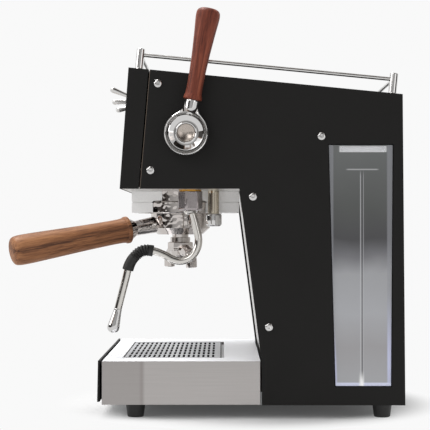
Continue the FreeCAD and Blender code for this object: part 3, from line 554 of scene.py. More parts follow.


# The base's top is painted near-white and matt: a painted reflection of the pale ceiling.
STEEL_TOP = painted_flank_reflection(painted_light_by_facing(brushed_steel("brushed_stainless_base", "b6b2b0", "y", (0.3, 0.4)),
                                       "fafbff", 1.0, 0.0))
# The grille's slot walls are painted near-black: painted shade inside the slots.
GRILLE_STEEL = painted_light_by_facing(brushed_steel("punched_stainless_grille", "cfcdca", "x", (0.3, 0.4)),
                           "a6a7aa", 0.0, 0.3, "0c0c0c")
BRUSHED_ALONG_X = brushed_steel("brushed_stainless_along_width", "cfcdca", "x")

# %% [markdown]
# ### Chrome
# Nickel and chrome plate on polished steel or brass is a mirror with a faint haze from the polishing wheel.
# Noise varies the haze. Castings polished by hand also wave a little, which breaks up what they mirror.


# %% Chrome
def chrome(name, code, roughness, wave_mm=0.0):
    """Mirror plate; wave_mm is the height of waves about 8 mm across."""
    coat, tree, shader = material(name, Base_Color=linear(code), Metallic=1.0)
    haze = node(tree, NOISE, {"Vector": object_pattern(tree)}, Scale=60.0, Detail=3.0)
    clear, dull = grey(roughness * 0.7), grey(roughness * 1.5)
    plug(tree, shader, {"Roughness": node(tree, RAMP, {"Fac": haze}, stops=[(0.35, clear), (0.7, dull)])})
    if wave_mm:
        waves = node(tree, NOISE, {"Vector": object_pattern(tree)}, Scale=1000 / 8, Detail=1.0)
        wavy = node(tree, BUMP, {"Height": waves}, Distance=wave_mm * MM, Strength=1.0)
        plug(tree, shader, {"Normal": wavy})
    return coat


CAST_CHROME = chrome("chrome_on_polished_castings", "c6c0bc", 0.05, 0.4)
CHROME = chrome("chrome_plate", "cfcecd", 0.05)
SATIN_CHROME = chrome("satin_chrome_plate", "d2d1cf", 0.2)
WARM_CHROME = chrome("thin_chrome_over_brass", "d3cab9", 0.06)
POLISHED_STEEL = chrome("polished_stainless_tube", "d0cdc8", 0.11)

# %% [markdown]
# ### Cast, turned and plated metals
# Cast aluminium is matt and pale with a sandy grain, turned brass is warm with fine tool marks, and zinc
# plate is grey with a cloudy bloom. One noise sets colour, roughness and height, at each metal's own grain
# size.


# %% Cast, turned and plated metals
def grained_metal(name, code, grain_mm, height_mm, roughness, spread):
    """A metal whose grain changes its colour by the spread, up and down."""
    coat, tree, shader = material(name, Metallic=1.0)
    grain = node(tree, NOISE, {"Vector": object_pattern(tree)}, Scale=1000 / grain_mm, Detail=4.0)
    low, high = shades(code, 1 - spread, 1 + spread)
    fine, coarse = grey(roughness), grey(roughness + 0.14)
    plug(tree, shader, {
        "Base Color": node(tree, RAMP, {"Fac": grain}, stops=[(0.3, low), (0.7, high)]),
        "Roughness": node(tree, RAMP, {"Fac": grain}, stops=[(0.3, fine), (0.7, coarse)]),
        "Normal": node(tree, BUMP, {"Height": grain}, Distance=height_mm * MM, Strength=0.6),
    })
    return coat


CAST_ALUMINIUM = grained_metal("cast_aluminium", "f0efee", 1.2, 0.08, 0.4, 0.04)
BRASS = grained_metal("turned_brass", "b98a3e", 2.5, 0.02, 0.22, 0.1)
ZINC_PLATE = grained_metal("zinc_plated_sheet", "9b9d9e", 6.0, 0.01, 0.35, 0.12)
SATIN_NICKEL = grained_metal("satin_nickel_nut", "a8a1a1", 1.0, 0.004, 0.1, 0.06)
TURNED_STEEL = grained_metal("face_turned_steel", "b3aaa2", 1.4, 0.01, 0.2, 0.1)

# %% [markdown]
# ### Moulded plastics, rubber and silicone
# Moulds are spark-eroded or blasted, and the parts take that texture: even colour, with a gloss that
# changes at the size of the grain. Rubber is coarser and duller than ABS, and silicone and lens plastic
# pass light.


# %% Moulded plastics, rubber and silicone
def moulded(name, code, roughness, grain_mm, height_mm, **sockets):
    """Moulded plastic or rubber with a fine mould texture."""
    coat, tree, shader = material(name, Base_Color=linear(code), **sockets)
    grain = node(tree, NOISE, {"Vector": object_pattern(tree)}, Scale=1000 / grain_mm, Detail=3.0)
    glossy, matt = grey(roughness - 0.06), grey(roughness + 0.08)
    plug(tree, shader, {
        "Roughness": node(tree, RAMP, {"Fac": grain}, stops=[(0.3, glossy), (0.7, matt)]),
        "Normal": node(tree, BUMP, {"Height": grain}, Distance=height_mm * MM, Strength=0.5),
    })
    return coat


ABS_BLACK = moulded("moulded_black_abs", "191919", 0.42, 1.0, 0.03)
# Near-white, this stands as a painted highlight in the tank's finger slot.
SLOT_HIGHLIGHT_ABS = moulded("moulded_abs_painted_highlight", "f4f4f6", 0.35, 2.0, 0.01)
RUBBER = moulded("moulded_black_rubber", "100f0e", 0.5, 1.6, 0.05)
SILICONE = moulded("clear_silicone_hose", "d9d8d2", 0.35, 3.0, 0.02, Transmission_Weight=0.25)
FIBREGLASS = moulded("green_fibreglass_board", "1f5a38", 0.4, 2.0, 0.02)
AMBER_LENS = moulded("amber_lamp_lens", "b4441c", 0.15, 4.0, 0.01, Transmission_Weight=0.3)

# %% [markdown]
# ### Oiled wood
# The grips are turned hardwood, sanded and oiled. Growth rings run as long stripes, open pores make short
# dark flecks, and oil leaves a soft sheen. Noise drawn out along the handle's own direction gives the
# stripes.


# %% Oiled wood
def oiled_wood(name, dark, mid, light, way, ring_mm=1.2, gloss=0.46):
    """Rings and pores stretched 22 times along a handle, whose direction is turned to Z."""
    coat, tree, shader = material(name, IOR=1.45, Specular_IOR_Level=0.28)
    turn = Vector(way).rotation_difference(Vector((0, 0, 1))).to_euler()
    stretched = node(tree, "ShaderNodeMapping", {"Vector": object_pattern(tree, (1, 1, 1), turn)},
                     Scale=(1.0, 1.0, 0.045))
    warp = node(tree, NOISE, {"Vector": stretched}, Scale=150.0, Detail=3.0)
    rings = node(tree, NOISE, {"Vector": stretched}, Scale=1000 / ring_mm, Detail=5.0, Roughness=0.62,
                 Distortion=0.6)
    pores = node(tree, NOISE, {"Vector": stretched}, Scale=1800.0, Detail=2.0)
    tone = node(tree, MATH, {0: rings, 1: warp}, operation="ADD")
    half = node(tree, MATH, {0: tone}, {1: 0.5}, operation="MULTIPLY")
    colour = node(tree, RAMP, {"Fac": half},
                  stops=[(0.38, linear(dark)), (0.5, linear(mid)), (0.64, linear(light))])
    flecks = node(tree, RAMP, {"Fac": pores}, stops=[(0.3, grey(0.55)), (0.44, grey(1.0))])
    plug(tree, shader, {
        "Base Color": node(tree, MIX, {6: colour, 7: flecks}, {0: 0.7}, data_type="RGBA",
                           blend_type="MULTIPLY").outputs[2],
        "Roughness": node(tree, RAMP, {"Fac": half}, stops=[(0.35, grey(gloss + 0.12)), (0.65, grey(gloss))]),
        "Normal": node(tree, BUMP, {"Height": pores}, Distance=0.08 * MM, Strength=0.4),
    })
    return coat


# %% [markdown]
# ### Smoked tank plastic with painted light and shade
# The tank is blow-clear copolyester with a smoke tint. Its colour holds painted light and shade: dark where
# one looks through into the empty top, pale where light gathers low down, and a painted glow in its thick
# walls, foot and ridge. These painted tones are laid over each other as masks, so that the depth of the real
# tank shows from any side.


# %% Smoked tank plastic
def tank_plastic(name):
    """Painted light and shade by height on the outer wall, painted light in the walls, foot and ridge, a
    moulded level line, and clearer plastic on the inner faces.
    """
    coat, tree, shader = material(name, Roughness=0.16, IOR=1.5, Transmission_Weight=0.12)
    place = object_axes(tree)
    outer, across, up = place["X"], place["Y"], place["Z"]
    whole = node(tree, "ShaderNodeTexCoord").outputs["Object"]
    cloud = node(tree, NOISE, {"Vector": whole}, Scale=22.0, Detail=2.0)
    sway = node(tree, MATH, {0: cloud, 2: up}, {1: 0.020}, operation="MULTIPLY_ADD")
    level = node(tree, RANGE, {"Value": sway}, From_Min=0.040, From_Max=0.290)
    # Painted light and shade by height: pale low down where light gathers, dark high up where the empty top
    # is seen into.
    colour = node(tree, RAMP, {"Fac": level}, stops=[(height, linear(code)) for height, code in (
        (0.0, "a4a5a8"), (0.16, "9b9a9c"), (0.30, "a6a7ab"), (0.46, "9c9da0"), (0.53, "6f6f73"),
        (0.60, "434345"), (0.72, "505251"), (1.0, "686a6a"))])
    foot = node(tree, MATH, {0: up, 2: across}, {1: 0.035}, operation="MULTIPLY_ADD")
    front_wall, rear_wall = (across, 70, 82.4, 0.8), (across, 136.2, 150, 0.8)
    low_down, seam_height = (up, 20, 92, 44), (up, 36, 246, 4)
    # The bands below are painted light and shade: light piped by the thick walls and bottom, the ridge's
    # highlights and shade, a painted glow at its foot and a painted highlight round the finger slot. Only the
    # level line is a moulded mark.
    for bands, code, strength in (
        ([front_wall], "8f9096", 0.55), ([front_wall, low_down], "c4c8e6", 0.9),
        ([rear_wall], "8f9096", 0.55), ([rear_wall, low_down], "c4c8e6", 0.9),
        ([(foot, 82.5, 87.4, 0.9), (up, 20, 70, 30)], "c4c8e6", 0.85),  # the inner wall, seen through
        ([(up, 20, 36.4, 0.7)], "d6daf2", 0.9),  # the thick bottom
        ([(across, 109.2, 110.2, 0.5), seam_height], "c2c2c6", 0.6),  # the ridge: light, dark, light
        ([(across, 110.6, 111.6, 0.4), seam_height], "2c2c2e", 0.75),
        ([(across, 112.0, 112.8, 0.4), seam_height], "b4b4b8", 0.5),
        ([(across, 108.6, 112.6, 1.6), (up, 20, 42, 8)], "ffffff", 0.95),  # the glow at the ridge's foot
        ([(up, 249.0, 250.2, 0.4), (across, 96, 127, 2)], "c9c9cb", 0.55),  # a plain level line
        ([(up, 267.0, 273.0, 0.5), (across, 88.6, 135.6, 1.0)], "d9dadb", 0.85),  # round the finger slot
    ):
        colour = laid_over(tree, colour, patch(tree, *bands), code, strength)
    inward = node(tree, RANGE, {"Value": outer}, From_Min=0.1300, From_Max=0.1312, To_Min=1.0, To_Max=0.0)
    plug(tree, shader, {
        "Base Color": laid_over(tree, colour, inward, "b9bbbd", 0.75),
        "Transmission Weight": node(tree, RAMP, {"Fac": inward},
                                    stops=[(0.0, grey(0.12)), (1.0, grey(0.85))]),
    })
    return coat


SMOKED_AND_PAINTED_LIGHT = tank_plastic("smoked_plastic_with_painted_light")

# %% [markdown]
# ## Portafilter handle
# Turned walnut: a lip at the ferrule, a shallow waist, then a slow swell to a gently domed end. It could be
# a scaled cylinder with loops moved by hand; a profile holds the lip and the swell in one list. The grain
# runs along the handle, so the wood pattern is turned to the handle's axis.

# %% Handle of the portafilter
GROUP = np.array([0.0, -75.0])
SWING, DROOP = math.radians(25), math.radians(10)
handle_way = np.array([
    math.sin(SWING) * math.cos(DROOP), -math.cos(SWING) * math.cos(DROOP), -math.sin(DROOP),
])
handle_start = np.array([GROUP[0], GROUP[1], 200.0]) + handle_way * 62
grip_profile = rounded([
    (0, 0.01), (0, 14.2), (1.0, 14.6), (3.6, 14.6), (4.6, 14.0), (5.0, 13.3), (5.6, 13.6), (9, 13.1),
    (20, 13.0), (50, 13.6), (85, 14.9), (112, 15.8), (123.5, 15.8), (129.2, 14.9), (131.2, 12.5),
    (132.4, 8), (132.7, 0.01),
], radius=2)
WALNUT = oiled_wood("oiled_walnut", "4f3223", "885a3b", "a1714c", handle_way)
walnut_grip = lathe("walnut_grip", grip_profile, handle_start, handle_way, 96)
finish_piece(walnut_grip, WALNUT, "portafilter_unit", "walnut", "portafilter_handle")

# %% [markdown]
# ## Steam lever
# The lever opens the steam valve. Its grip is red hardwood, narrow at the collar and swelling to a rounded
# end, and it leans back a little. It is turned as the portafilter's grip is.

# %% Grip of the steam lever
LEAN = math.radians(10.5)
lever_way = np.array([0.0, math.sin(LEAN), math.cos(LEAN)])
lever_hub = np.array([137.0, -64.5, 285.1])
lever_line = lever_hub + np.array([10.0, 0, 0])
lever_profile = rounded([
    (33.4, 0.01), (33.4, 9.0), (35.5, 9.4), (40, 8.0), (46, 7.8), (60, 8.1), (80, 9.0), (100, 10.5),
    (114, 11.8), (119, 12.1), (123, 11.4), (125.4, 8.6), (125.9, 4), (125.9, 0.01),
], radius=4)
REDWOOD = oiled_wood("oiled_red_hardwood", "401a12", "6b3222", "844530", lever_way, 2.6)
lever_grip = lathe("lever_grip", lever_profile, lever_line, lever_way, 80)
finish_piece(lever_grip, REDWOOD, "steam_lever", "rosewood", "steam_lever_handle")


# %% [markdown]
# ### Ring, neck and cap
# The chrome ring and its neck are one casting, so the neck flows into the ring with a fillet. A union of
# two cylinders would leave a hard corner. Here one outline joins the two shapes by a smooth minimum, and
# rings of it are stepped in and out for the rounded rim, the groove and the dish. The cap in the middle is
# face-turned.


# %% Outline of the ring
def lever_outline(turn, ring_radius=22.7, neck_half=7.0, blend=8.0, reach=33.6):
    """Where each ray from the ring's centre leaves the joined shape. The distances to the circle and to the
    neck's sides are blended by a smooth minimum, and the zero of the result is found by halving."""
    near, far = np.full_like(turn, 5.0), np.full_like(turn, 60.0)
    for _ in range(40):
        middle = (near + far) / 2
        across, up = np.abs(middle * np.sin(turn)), middle * np.cos(turn)
        circle = middle - ring_radius
        neck = np.where(up > 0, across - neck_half, np.hypot(across, up))
        mixed = np.clip(0.5 + 0.5 * (neck - circle) / blend, 0, 1)
        value = neck * (1 - mixed) + circle * mixed - blend * mixed * (1 - mixed)
        value = np.maximum(value, up - reach)
        near, far = np.where(value < 0, middle, near), np.where(value < 0, far, middle)
    return np.where(np.cos(turn) > 0, middle, ring_radius)


NECK_SPAN = 0.9  # radians each side of the neck that get more points
turn = np.concatenate([
    np.linspace(-NECK_SPAN, NECK_SPAN, 160, endpoint=False),
    np.linspace(NECK_SPAN, 2 * np.pi - NECK_SPAN, 140, endpoint=False),
])
rim = lever_outline(turn)
print("lever outline:", round(float(rim.min()), 2), "to", round(float(rim.max()), 2), "mm")

# %% Ring, neck and cap
spokes = np.stack([np.zeros_like(turn), np.sin(turn + LEAN), np.cos(turn + LEAN)], axis=-1)
rings = [(0.3, 0.02 + 0 * rim), (0.3, 10 + 0 * rim), (0.3, rim - 2.6), (0.9, rim - 1.5), (2.4, rim - 0.5),
         (4.6, rim), (12.2, rim), (14.6, rim - 0.35), (16.4, rim - 1.0), (17.0, rim - 1.6)]
rings += [(16.9, np.minimum(rim - 2.0, 21.4)), (16.4, np.minimum(rim - 2.4, 20.8)), (13.9, 18.1 + 0 * rim),
          (13.2, 17.9 + 0 * rim)]
rings += [(x, radius + 0 * rim) for x, radius in (
    (16.8, 17.7), (17.9, 17.45), (18.2, 17.0), (18.0, 16.4), (15.6, 12.4), (15.3, 11.7), (15.9, 11.3),
    (16.9, 10.8), (17.1, 10.1), (16.8, 9.4), (16.2, 9.0), (13.0, 8.9), (12.8, 0.02),
)]
ring_x = np.array([x + 0 * rim for x, _ in rings])
ring_radius = np.array([radius for _, radius in rings])
ring_x = 9.0 + (ring_x - 9.0) * np.minimum(1.0, (23.4 / np.maximum(ring_radius, 1)) ** 3.2)
ring_points = lever_hub + ring_x[..., None] * np.array([1.0, 0, 0]) + ring_radius[..., None] * spokes
neck_profile = rounded([
    (17, 0.01), (17, 4.0), (18.5, 5.8), (24, 6.9), (32.4, 7.0), (33.6, 6.7), (33.6, 0.01),
], radius=1)
lever_ring = joined("lever_ring", [
    grid_mesh("ring", ring_points * MM),
    lathe("neck", neck_profile, lever_line, lever_way, 48),
])
finish_piece(lever_ring, CHROME, "steam_lever", "chrome", "steam_lever_hub")
cap_profile = [(12.9, 0.01), (12.9, 8.7), (16.0, 8.8), (16.2, 8.5), (15.9, 8.2), (14.6, 5.2), (13.7, 2.0),
               (13.5, 0.7), (13.5, 0.01)]
cap = lathe("lever_cap", cap_profile, lever_hub, (1, 0, 0), 72)
finish_piece(cap, TURNED_STEEL, "steam_lever", "chrome")

# %% [markdown]
# ## Steam wand
# One polished steel tube, bent twice, hangs from a ball joint. It is swept along a smooth path through
# points on its centre line.

# %% Tube and ball
WAND_X = 95.0
wand_corners = [
    (-61.7, 213.5), (-59.6, 206), (-55.6, 191), (-53.2, 179), (-55.1, 169), (-61.5, 160.6), (-71, 157),
    (-80, 158.7), (-88.5, 163.2), (-99, 167.2), (-110.5, 167.6), (-119, 161.5), (-124.6, 152.5),
    (-128.4, 138), (-132.8, 121), (-136.8, 105.1),
]
wand_path = smooth_path([(WAND_X, y, z) for y, z in wand_corners], 150)
wand_pipe = swept("wand_pipe", wand_path, 4.0)
finish_piece(wand_pipe, POLISHED_STEEL, "steam_wand", "chrome", "wand_tube")
ball_profile = [(9.2 * -math.cos(a), max(9.2 * math.sin(a), 0.02)) for a in np.linspace(0, np.pi, 25)]
ball = lathe("wand_ball", ball_profile, (WAND_X, *wand_corners[0]), (0, 0, 1), 40)
finish_piece(ball, POLISHED_STEEL, "steam_wand", "chrome")

# %% [markdown]
# ### Sleeve and tip
# The ribbed rubber sleeve covers the second bend, where a hand holds it. It follows the tube's own path,
# and a cosine adds the ribs to its radius. The tip is a teardrop that holds the steam holes.

# %% Sleeve and tip
distance = np.concatenate([[0], np.cumsum(np.linalg.norm(np.diff(wand_path, axis=0), axis=1))])
near_start = int(np.argmin(np.abs(wand_path[:, 1] + 99.5) + 99 * (wand_path[:, 2] > 175)))
near_end = int(np.argmin(np.abs(wand_path[:, 2] - 147.5) + 99 * (wand_path[:, 1] > -115)))
grip_path_length = np.linspace(distance[near_start], distance[near_end], 160)
grip_path = np.stack([np.interp(grip_path_length, distance, wand_path[:, i]) for i in range(3)], axis=-1)
along_grip = np.linspace(0, 1, 160)
ribs = 0.5 * np.cos((along_grip - 0.36) * 2 * np.pi * 15) * (np.abs(along_grip - 0.36) < 0.23)
grip_radius = 5.85 + ribs - 0.25 * np.sin(along_grip * np.pi)
grip_radius[:3] = grip_radius[-3:][::-1] = (4.3, 5.3, 5.75)
wand_sleeve = swept("wand_sleeve", grip_path, grip_radius, 40)
finish_piece(wand_sleeve, RUBBER, "steam_wand", "rubber", "wand_grip")

tip_way = np.array([0, -136.8 + 128.4, 105.1 - 138.0])
tip_profile = rounded([(-4, 0.01), (-4, 4.25), (0, 4.3), (8, 5.4), (15.5, 6.4), (19, 6.1), (21.4, 4.4),
                       (22.4, 2.0), (22.4, 0.01)], radius=2.4)
wand_tip = lathe("wand_tip", tip_profile, (WAND_X, -136.8, 105.1), tip_way, 48)
finish_piece(wand_tip, CHROME, "steam_wand", "chrome", "steam_nozzle")

# %% [markdown]
# ## Screws
# Button-head screws with a hex socket hold the side panels. Each is rings of points: a rim, a dome, then
# six flat sides down into the socket, whose radius is that of a hexagon at each turn.


# %% Button-head screws
def button_screw(y, z, sign):
    """One head: rings of points shrink from the rim over a dome to a six-sided socket and its floor."""
    turn = np.linspace(0, 2 * np.pi, 36, endpoint=False)
    flat = np.cos(np.pi / 6) / np.cos((turn % (np.pi / 3)) - np.pi / 6)
    rows = [(0.0, 0.05 * np.ones(36)), (0.0, 4.2 * np.ones(36)), (0.5, 4.25 * np.ones(36))]
    rows += [(0.5 + 1.8 * math.sin(a), 1.9 + 2.35 * math.cos(a) * np.ones(36))
             for a in np.linspace(0.2, 1.5, 8)]
    socket = flat / 0.866
    rows += [(2.3, 1.62 * socket), (2.2, 1.5 * socket), (0.9, 1.5 * socket), (0.8, 0.05 * flat)]
    return np.array([
        np.stack([np.full(36, sign * (135 + x)), y + radius * np.cos(turn) * sign, z + radius * np.sin(turn)],
                 axis=-1)
        for x, radius in rows
    ])


screw_points = [
    button_screw(y, z, sign)
    for y, z in ((-93.2, 335.6), (-100.6, 248.7), (70.5, 282.8), (2, 222.3), (18, 91.9))
    for sign in (1, -1)
]
panel_heads = joined("button_screws", [grid_mesh(f"screw_{i}", p * MM) for i, p in enumerate(screw_points)])
finish_piece(panel_heads, CHROME, "root", "chrome", "panel_screws")

# %% [markdown]
# ## Posts of the cup rail
# Turned posts with a small foot flange and a softened top stand square on the sloping roof.

# %% Posts
SLOPE = math.atan(0.098)
post_way = (0, math.sin(SLOPE), math.cos(SLOPE))
roof_start = np.array([0, -101.3, 349.8])
roof_way = np.array([0, math.cos(SLOPE), -math.sin(SLOPE)])
post_profile = rounded([
    (0, 0.01), (0, 5.0), (1.2, 5.0), (1.3, 4.25), (21.2, 4.25), (22, 3.4), (22, 0.01),
], radius=0.5)
posts = [
    lathe(f"post_{x}_{y}", post_profile, roof_start + roof_way * y + np.array([x, 0, 0]), post_way, 40)
    for x in (-120, 120) for y in (-11.8, 245.5)
]
finish_piece(joined("rail_posts", posts), CHROME, "root", "chrome", "gallery_posts")

# %% [markdown]
# ## Feet
# Moulded rubber feet that taper to the floor, with a rounded lower edge.

# %% Feet
foot_profile = rounded([(0, 0.01), (0, 7.4), (0.8, 8.3), (9, 9.3), (13.9, 10.1), (13.9, 0.01)], radius=1.0)
feet = [
    lathe(f"foot_{x}_{y}", foot_profile, (x, y, 0), (0, 0, 1), 40)
    for x in (-115, 115) for y in (-116.6, 133)
]
finish_piece(joined("rubber_feet", feet), RUBBER, "root", "rubber", "feet")

# %% [markdown]
# ## Toggle switches
# Bat levers: a slim neck that swells to a rounded tip, turned from brass and plated satin. Each points
# where its switch stands, so only the direction differs.

# %% Bat levers
FACE_LEAN = 0.0724
toggle_y = -131.5 + FACE_LEAN * (330 - 230.3)
bat_profile = rounded([(-3.6, 0.01), (-3.0, 2.0), (-1.6, 3.2), (0, 3.6), (1.6, 3.2), (2.9, 2.1), (8, 2.2),
                       (19, 3.0), (23, 3.25), (25.4, 2.4), (26, 0.01)], radius=1.2)
for label, x, angle in (("right", 45, 22.1), ("middle", 0, 0.0), ("left", -45, -11.9)):
    way = (0, -math.cos(math.radians(angle)), math.sin(math.radians(angle)))
    bat = lathe(f"bat_{label}", bat_profile, (x, toggle_y, 330), way, 32)
    finish_piece(bat, SATIN_CHROME, f"toggle_{label}", "chrome", f"toggle_lever_{label}")

# %% [markdown]
# ## Finger slot of the tank
# A moulded cup behind the slot keeps fingers out of the water. Its near-white colour is a painted highlight:
# it shows as the bright bar of the lit slot. Its outline is two half circles joined by straight runs, and
# smaller copies of it set back make the bowl.


# %% Cup behind the slot
def slot_cup(front, back, y0, y1, z0, z1, count=64):
    """Stadium-shaped rings: half circles of one radius joined by straight runs, set back and closed."""
    turn = np.linspace(0, 2 * np.pi, count, endpoint=False)
    radius = (z1 - z0) / 2
    y = np.where(np.cos(turn) < 0, y0 + radius, y1 - radius)
    rows = [(front, 1.0), (front, 0.92), (back + 1.5, 0.86), (back, 0.70), (back, 0.02), (back - 1.0, 0.02),
            (back - 1.0, 1.0)]
    middle_y, middle_z = (y0 + y1) / 2, (z0 + z1) / 2
    points = [
        np.stack([
            x + 0 * turn, middle_y + (y - middle_y) * min(1, size * 1.05) + size * radius * np.cos(turn),
            middle_z + size * radius * np.sin(turn),
        ], axis=-1)
        for x, size in rows
    ]
    return grid_mesh("slot_cup", np.array(points) * MM, wrap_along=True)


finish_piece(slot_cup(130.9, 126.5, 88.7, 135.3, 266.5, 273.4), SLOT_HIGHLIGHT_ABS, "tank", "plastic")

# %% [markdown]
# ## Double spout
# Polished spouts grow out of a hub under the basket, bend down and end in open lips. They are tubes swept
# along smooth paths, and the hub and its hexagon nut are turned.

# %% Double spout
swing_side = np.array([math.cos(SWING), math.sin(SWING), 0])
group_centre = np.array([GROUP[0], GROUP[1], 0])
hub_profile = rounded([
    (0, 0.01), (0, 8.0), (2.5, 10.2), (7.5, 11), (9.5, 11), (22.5, 11), (22.5, 0.01),
], radius=0.6)
hexagon = rounded([(0, 0.01), (0, 12.2), (1.2, 13.8), (8.8, 13.8), (10, 12.2), (10, 0.01)], radius=0.4)
spout_parts = [
    lathe("hub", hub_profile, group_centre + np.array([0, 0, 158.5]), (0, 0, 1), 48),
    lathe("nut", hexagon, group_centre + np.array([0, 0, 166]), (0, 0, 1), 6),
]
lip_profile = [(0, 0.01), (0, 5.6), (0.4, 6.1), (5.9, 5.9), (6.3, 5.5), (6.3, 4.9), (5.7, 4.5), (1.5, 4.2),
               (1.5, 0.01)]
for sign in (-1, 1):
    bend = [(4, 166), (12, 166.4), (20, 165.6), (26.2, 162.2), (29.2, 157.5), (30.2, 153.5)]
    path = smooth_path([group_centre + sign * r * swing_side + np.array([0, 0, z]) for r, z in bend], 40)
    spout_parts.append(swept("arm", path, np.linspace(6.9, 6.1, 40), 36, (-swing_side[1], swing_side[0], 0)))
    tip_from = group_centre + sign * 30.1 * swing_side + np.array([0, 0, 154.5])
    tip_down = sign * 0.10 * swing_side + np.array([0, 0, -1.0])
    spout_parts.append(lathe("lip", lip_profile, tip_from, tip_down, 36))
finish_piece(joined("pouring_spouts", spout_parts), CAST_CHROME, "portafilter_unit", "chrome", "double_spout")

# %% [markdown]
# ## Nut and nozzle
# A hexagon nut holds the wand's ball joint, and the hot water spout ends in a short round nozzle. Both
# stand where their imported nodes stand, so their size comes from those boxes. A live bevel breaks the nut's
# corners.

# %% Hexagon nut of the wand
nut_low, nut_high = (np.array(v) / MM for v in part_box("wand_nut"))
nut_tall = nut_high[2] - nut_low[2]
nut_wide = max(nut_high[0] - nut_low[0], nut_high[1] - nut_low[1]) / 2
nut_profile = [(0, 0.01), (0, 7.6), (0.4, 8.4), (1.6, nut_wide - 0.1), (nut_tall - 0.8, nut_wide - 0.1),
               (nut_tall, nut_wide - 1.2), (nut_tall, 0.01)]
nut_foot = (*((nut_low + nut_high) / 2)[:2], nut_low[2])
nut = lathe("hexagon_nut", nut_profile, nut_foot, (0, 0, 1), 6, math.radians(12))
corners = nut.modifiers.new("corners", "BEVEL")
corners.width = 1.7 * MM
corners.segments = 3
corners.limit_method = "ANGLE"
corners.angle_limit = math.radians(50)
print("nut:", np.round(nut_high - nut_low, 2))
finish_piece(nut, SATIN_NICKEL, "root", "chrome", "wand_nut")

# %% Nozzle of the hot water spout
jet_low, jet_high = (np.array(v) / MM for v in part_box("hot_water_nozzle"))
jet_tall = jet_high[2] - jet_low[2]
jet_radius = (jet_high[0] - jet_low[0]) / 2 + 0.7
jet_profile = rounded([
    (0, 0.01), (0, 5.2), (0.2, jet_radius - 1.6), (2.2, jet_radius), (jet_tall - 1.4, jet_radius),
    (jet_tall, jet_radius - 1.2), (jet_tall, 0.01),
], radius=1.0)
jet_foot = (*((jet_low + jet_high) / 2)[:2], jet_low[2])
jet = lathe("spout_nozzle", jet_profile, jet_foot, (0, 0, 1), 48)
print("nozzle:", np.round(jet_high - jet_low, 2))
finish_piece(jet, CHROME, "root", "chrome", "hot_water_nozzle")

# %% [markdown]
# ## Dark strip round the grille
# A thin black strip fills the gap round the grille and stands for the shade in it: painted shade in rubber's
# colour. Its outline is a rectangle with quarter circles for corners, carried up the outer wall, over the top
# and down the inner wall.


# %% Dark strip round the grille
def dark_gap_strip(outer, inset, low, high, corner=3.0, count=16):
    """Each corner's points are its centre plus radius * (cos, sin), and the radius shrinks inwards."""
    (x0, y0), (x1, y1) = outer
    quarter = np.linspace(0, np.pi / 2, count)
    turn = np.concatenate([quarter + k * np.pi / 2 for k in range(4)])
    hub_y = np.where(np.arange(4 * count) < 2 * count, y1 - corner, y0 + corner)
    hub_x = np.repeat([x1 - corner, x0 + corner, x0 + corner, x1 - corner], count)
    steps = ((0, low), (0, high - 0.3), (0.3, high), (inset - 0.3, high), (inset, high - 0.3), (inset, low))
    rows = [
        np.stack([hub_x + (corner - shrink) * np.cos(turn), hub_y + (corner - shrink) * np.sin(turn),
                  z + 0 * turn], axis=-1)
        for shrink, z in steps
    ]
    return grid_mesh("grille_gap_shade", np.array(rows) * MM, wrap_along=True)


# Painted shade: a dark strip where the gap round the grille falls into shade.
finish_piece(dark_gap_strip(((-96.4, -131.1), (96.4, -29.6)), 1.2, 54.3, 57.7), RUBBER, "root", "rubber")

# %% [markdown]
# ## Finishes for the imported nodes
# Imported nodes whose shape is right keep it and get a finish. Their meshes are left alone.

# %% Assign finishes
FINISHES = {
    POWDER_BLACK: ("top_plate", "rear_panel"),
    BRUSHED_ALONG_X: ("head_floor", "column_plate"),
    GRILLE_STEEL: ("drip_grille",),
    SATIN_CHROME: ("gallery_rails",),
    WARM_CHROME: ("hot_water_spout",),
    CAST_CHROME: ("group_head", "portafilter"),
    CHROME: ("toggle_bushings", "lamp_bezel", "shower_screen", "filter_basket", "basket_spring"),
    CAST_ALUMINIUM: ("steam_thermoblock",),
    BRASS: ("wand_washer", "screen_screw", "solenoid_valve", "steam_valve_body", "steam_valve_stem",
            "steam_pipe"),
    ZINC_PLATE: ("base_pan", "chassis_frame"),
    ABS_BLACK: ("drip_tray", "thermostat", "solenoid_coil", "pump", "toggle_switches", "tank_cradle",
                "power_inlet", "tank_spigot", "wand_ball_seat"),
    RUBBER: ("group_gasket", "pump_mounts", "tank_socket"),
    SILICONE: ("water_hoses",),
    FIBREGLASS: ("control_board",),
    AMBER_LENS: ("lamp_lens",),
    SMOKED_AND_PAINTED_LIGHT: ("water_tank",),
}
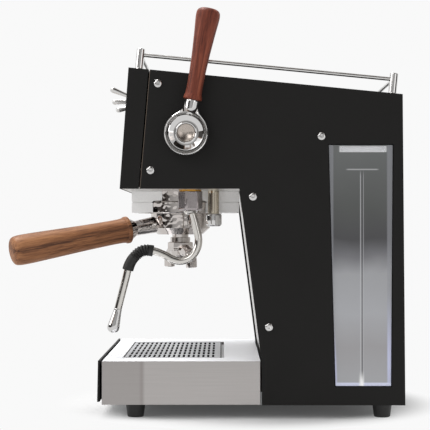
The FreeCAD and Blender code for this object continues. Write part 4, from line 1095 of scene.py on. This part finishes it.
for coat, names in FINISHES.items():
    for name in names:
        for holder in nodes[name].material_slots:
            holder.material = coat
        if not nodes[name].material_slots:
            nodes[name].data.materials.append(coat)
print("finished:", sum(len(names) for names in FINISHES.values()), "packed nodes")

# %% [markdown]
# ## Folded and cast edges
# Folded sheet and castings have a small radius on every edge, which catches light as a thin line. A bevel
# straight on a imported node's loose triangles would cut lines across its flat faces, so a merged copy with
# whole faces stands for it, with a live bevel and normals that favour the large faces.


# %% Folded and cast edges
def softened(name, width_mm, coat):
    """A joined copy of a packed sheet part whose flat faces are whole, with a live bevel on its corners."""
    source = nodes[name]
    shell = bmesh.new()
    shell.from_mesh(source.data)
    bmesh.ops.remove_doubles(shell, verts=shell.verts, dist=0.00002)
    bmesh.ops.dissolve_limit(shell, angle_limit=math.radians(1.0), verts=shell.verts, edges=shell.edges)
    mesh = bpy.data.meshes.new(name + "_sheet")
    shell.to_mesh(mesh)
    shell.free()
    made = bpy.data.objects.new(name + "_sheet", mesh)
    bpy.context.scene.collection.objects.link(made)
    mesh.polygons.foreach_set("use_smooth", np.ones(len(mesh.polygons), dtype=bool))
    mesh.polygons.foreach_set("material_index", np.zeros(len(mesh.polygons), dtype=np.int32))
    soft = made.modifiers.new("bevel", "BEVEL")
    soft.width = width_mm * MM
    soft.segments = 3
    soft.limit_method = "ANGLE"
    soft.angle_limit = math.radians(30)
    weighted = made.modifiers.new("weighted", "WEIGHTED_NORMAL")
    weighted.mode = "FACE_AREA"
    weighted.weight = 100
    part = next(part for part in frame["record"]["subparts"] if part["node"] == name)
    body = next(body for body, empty in frame["bodies"].items() if empty is source.parent)
    finish_piece(made, coat, body, part["material_slot"], name)


for name, width, coat in (
    ("side_panel_right", 0.6, PANEL_BLACK), ("side_panel_left", 0.6, PANEL_BLACK),
    ("front_panel", 0.9, POWDER_BLACK),
    ("base_cover", 0.6, STEEL_TOP), ("drip_tray_front", 0.6, POWDER_BLACK),
    ("brew_thermoblock", 1.0, CAST_ALUMINIUM),
):
    softened(name, width, coat)
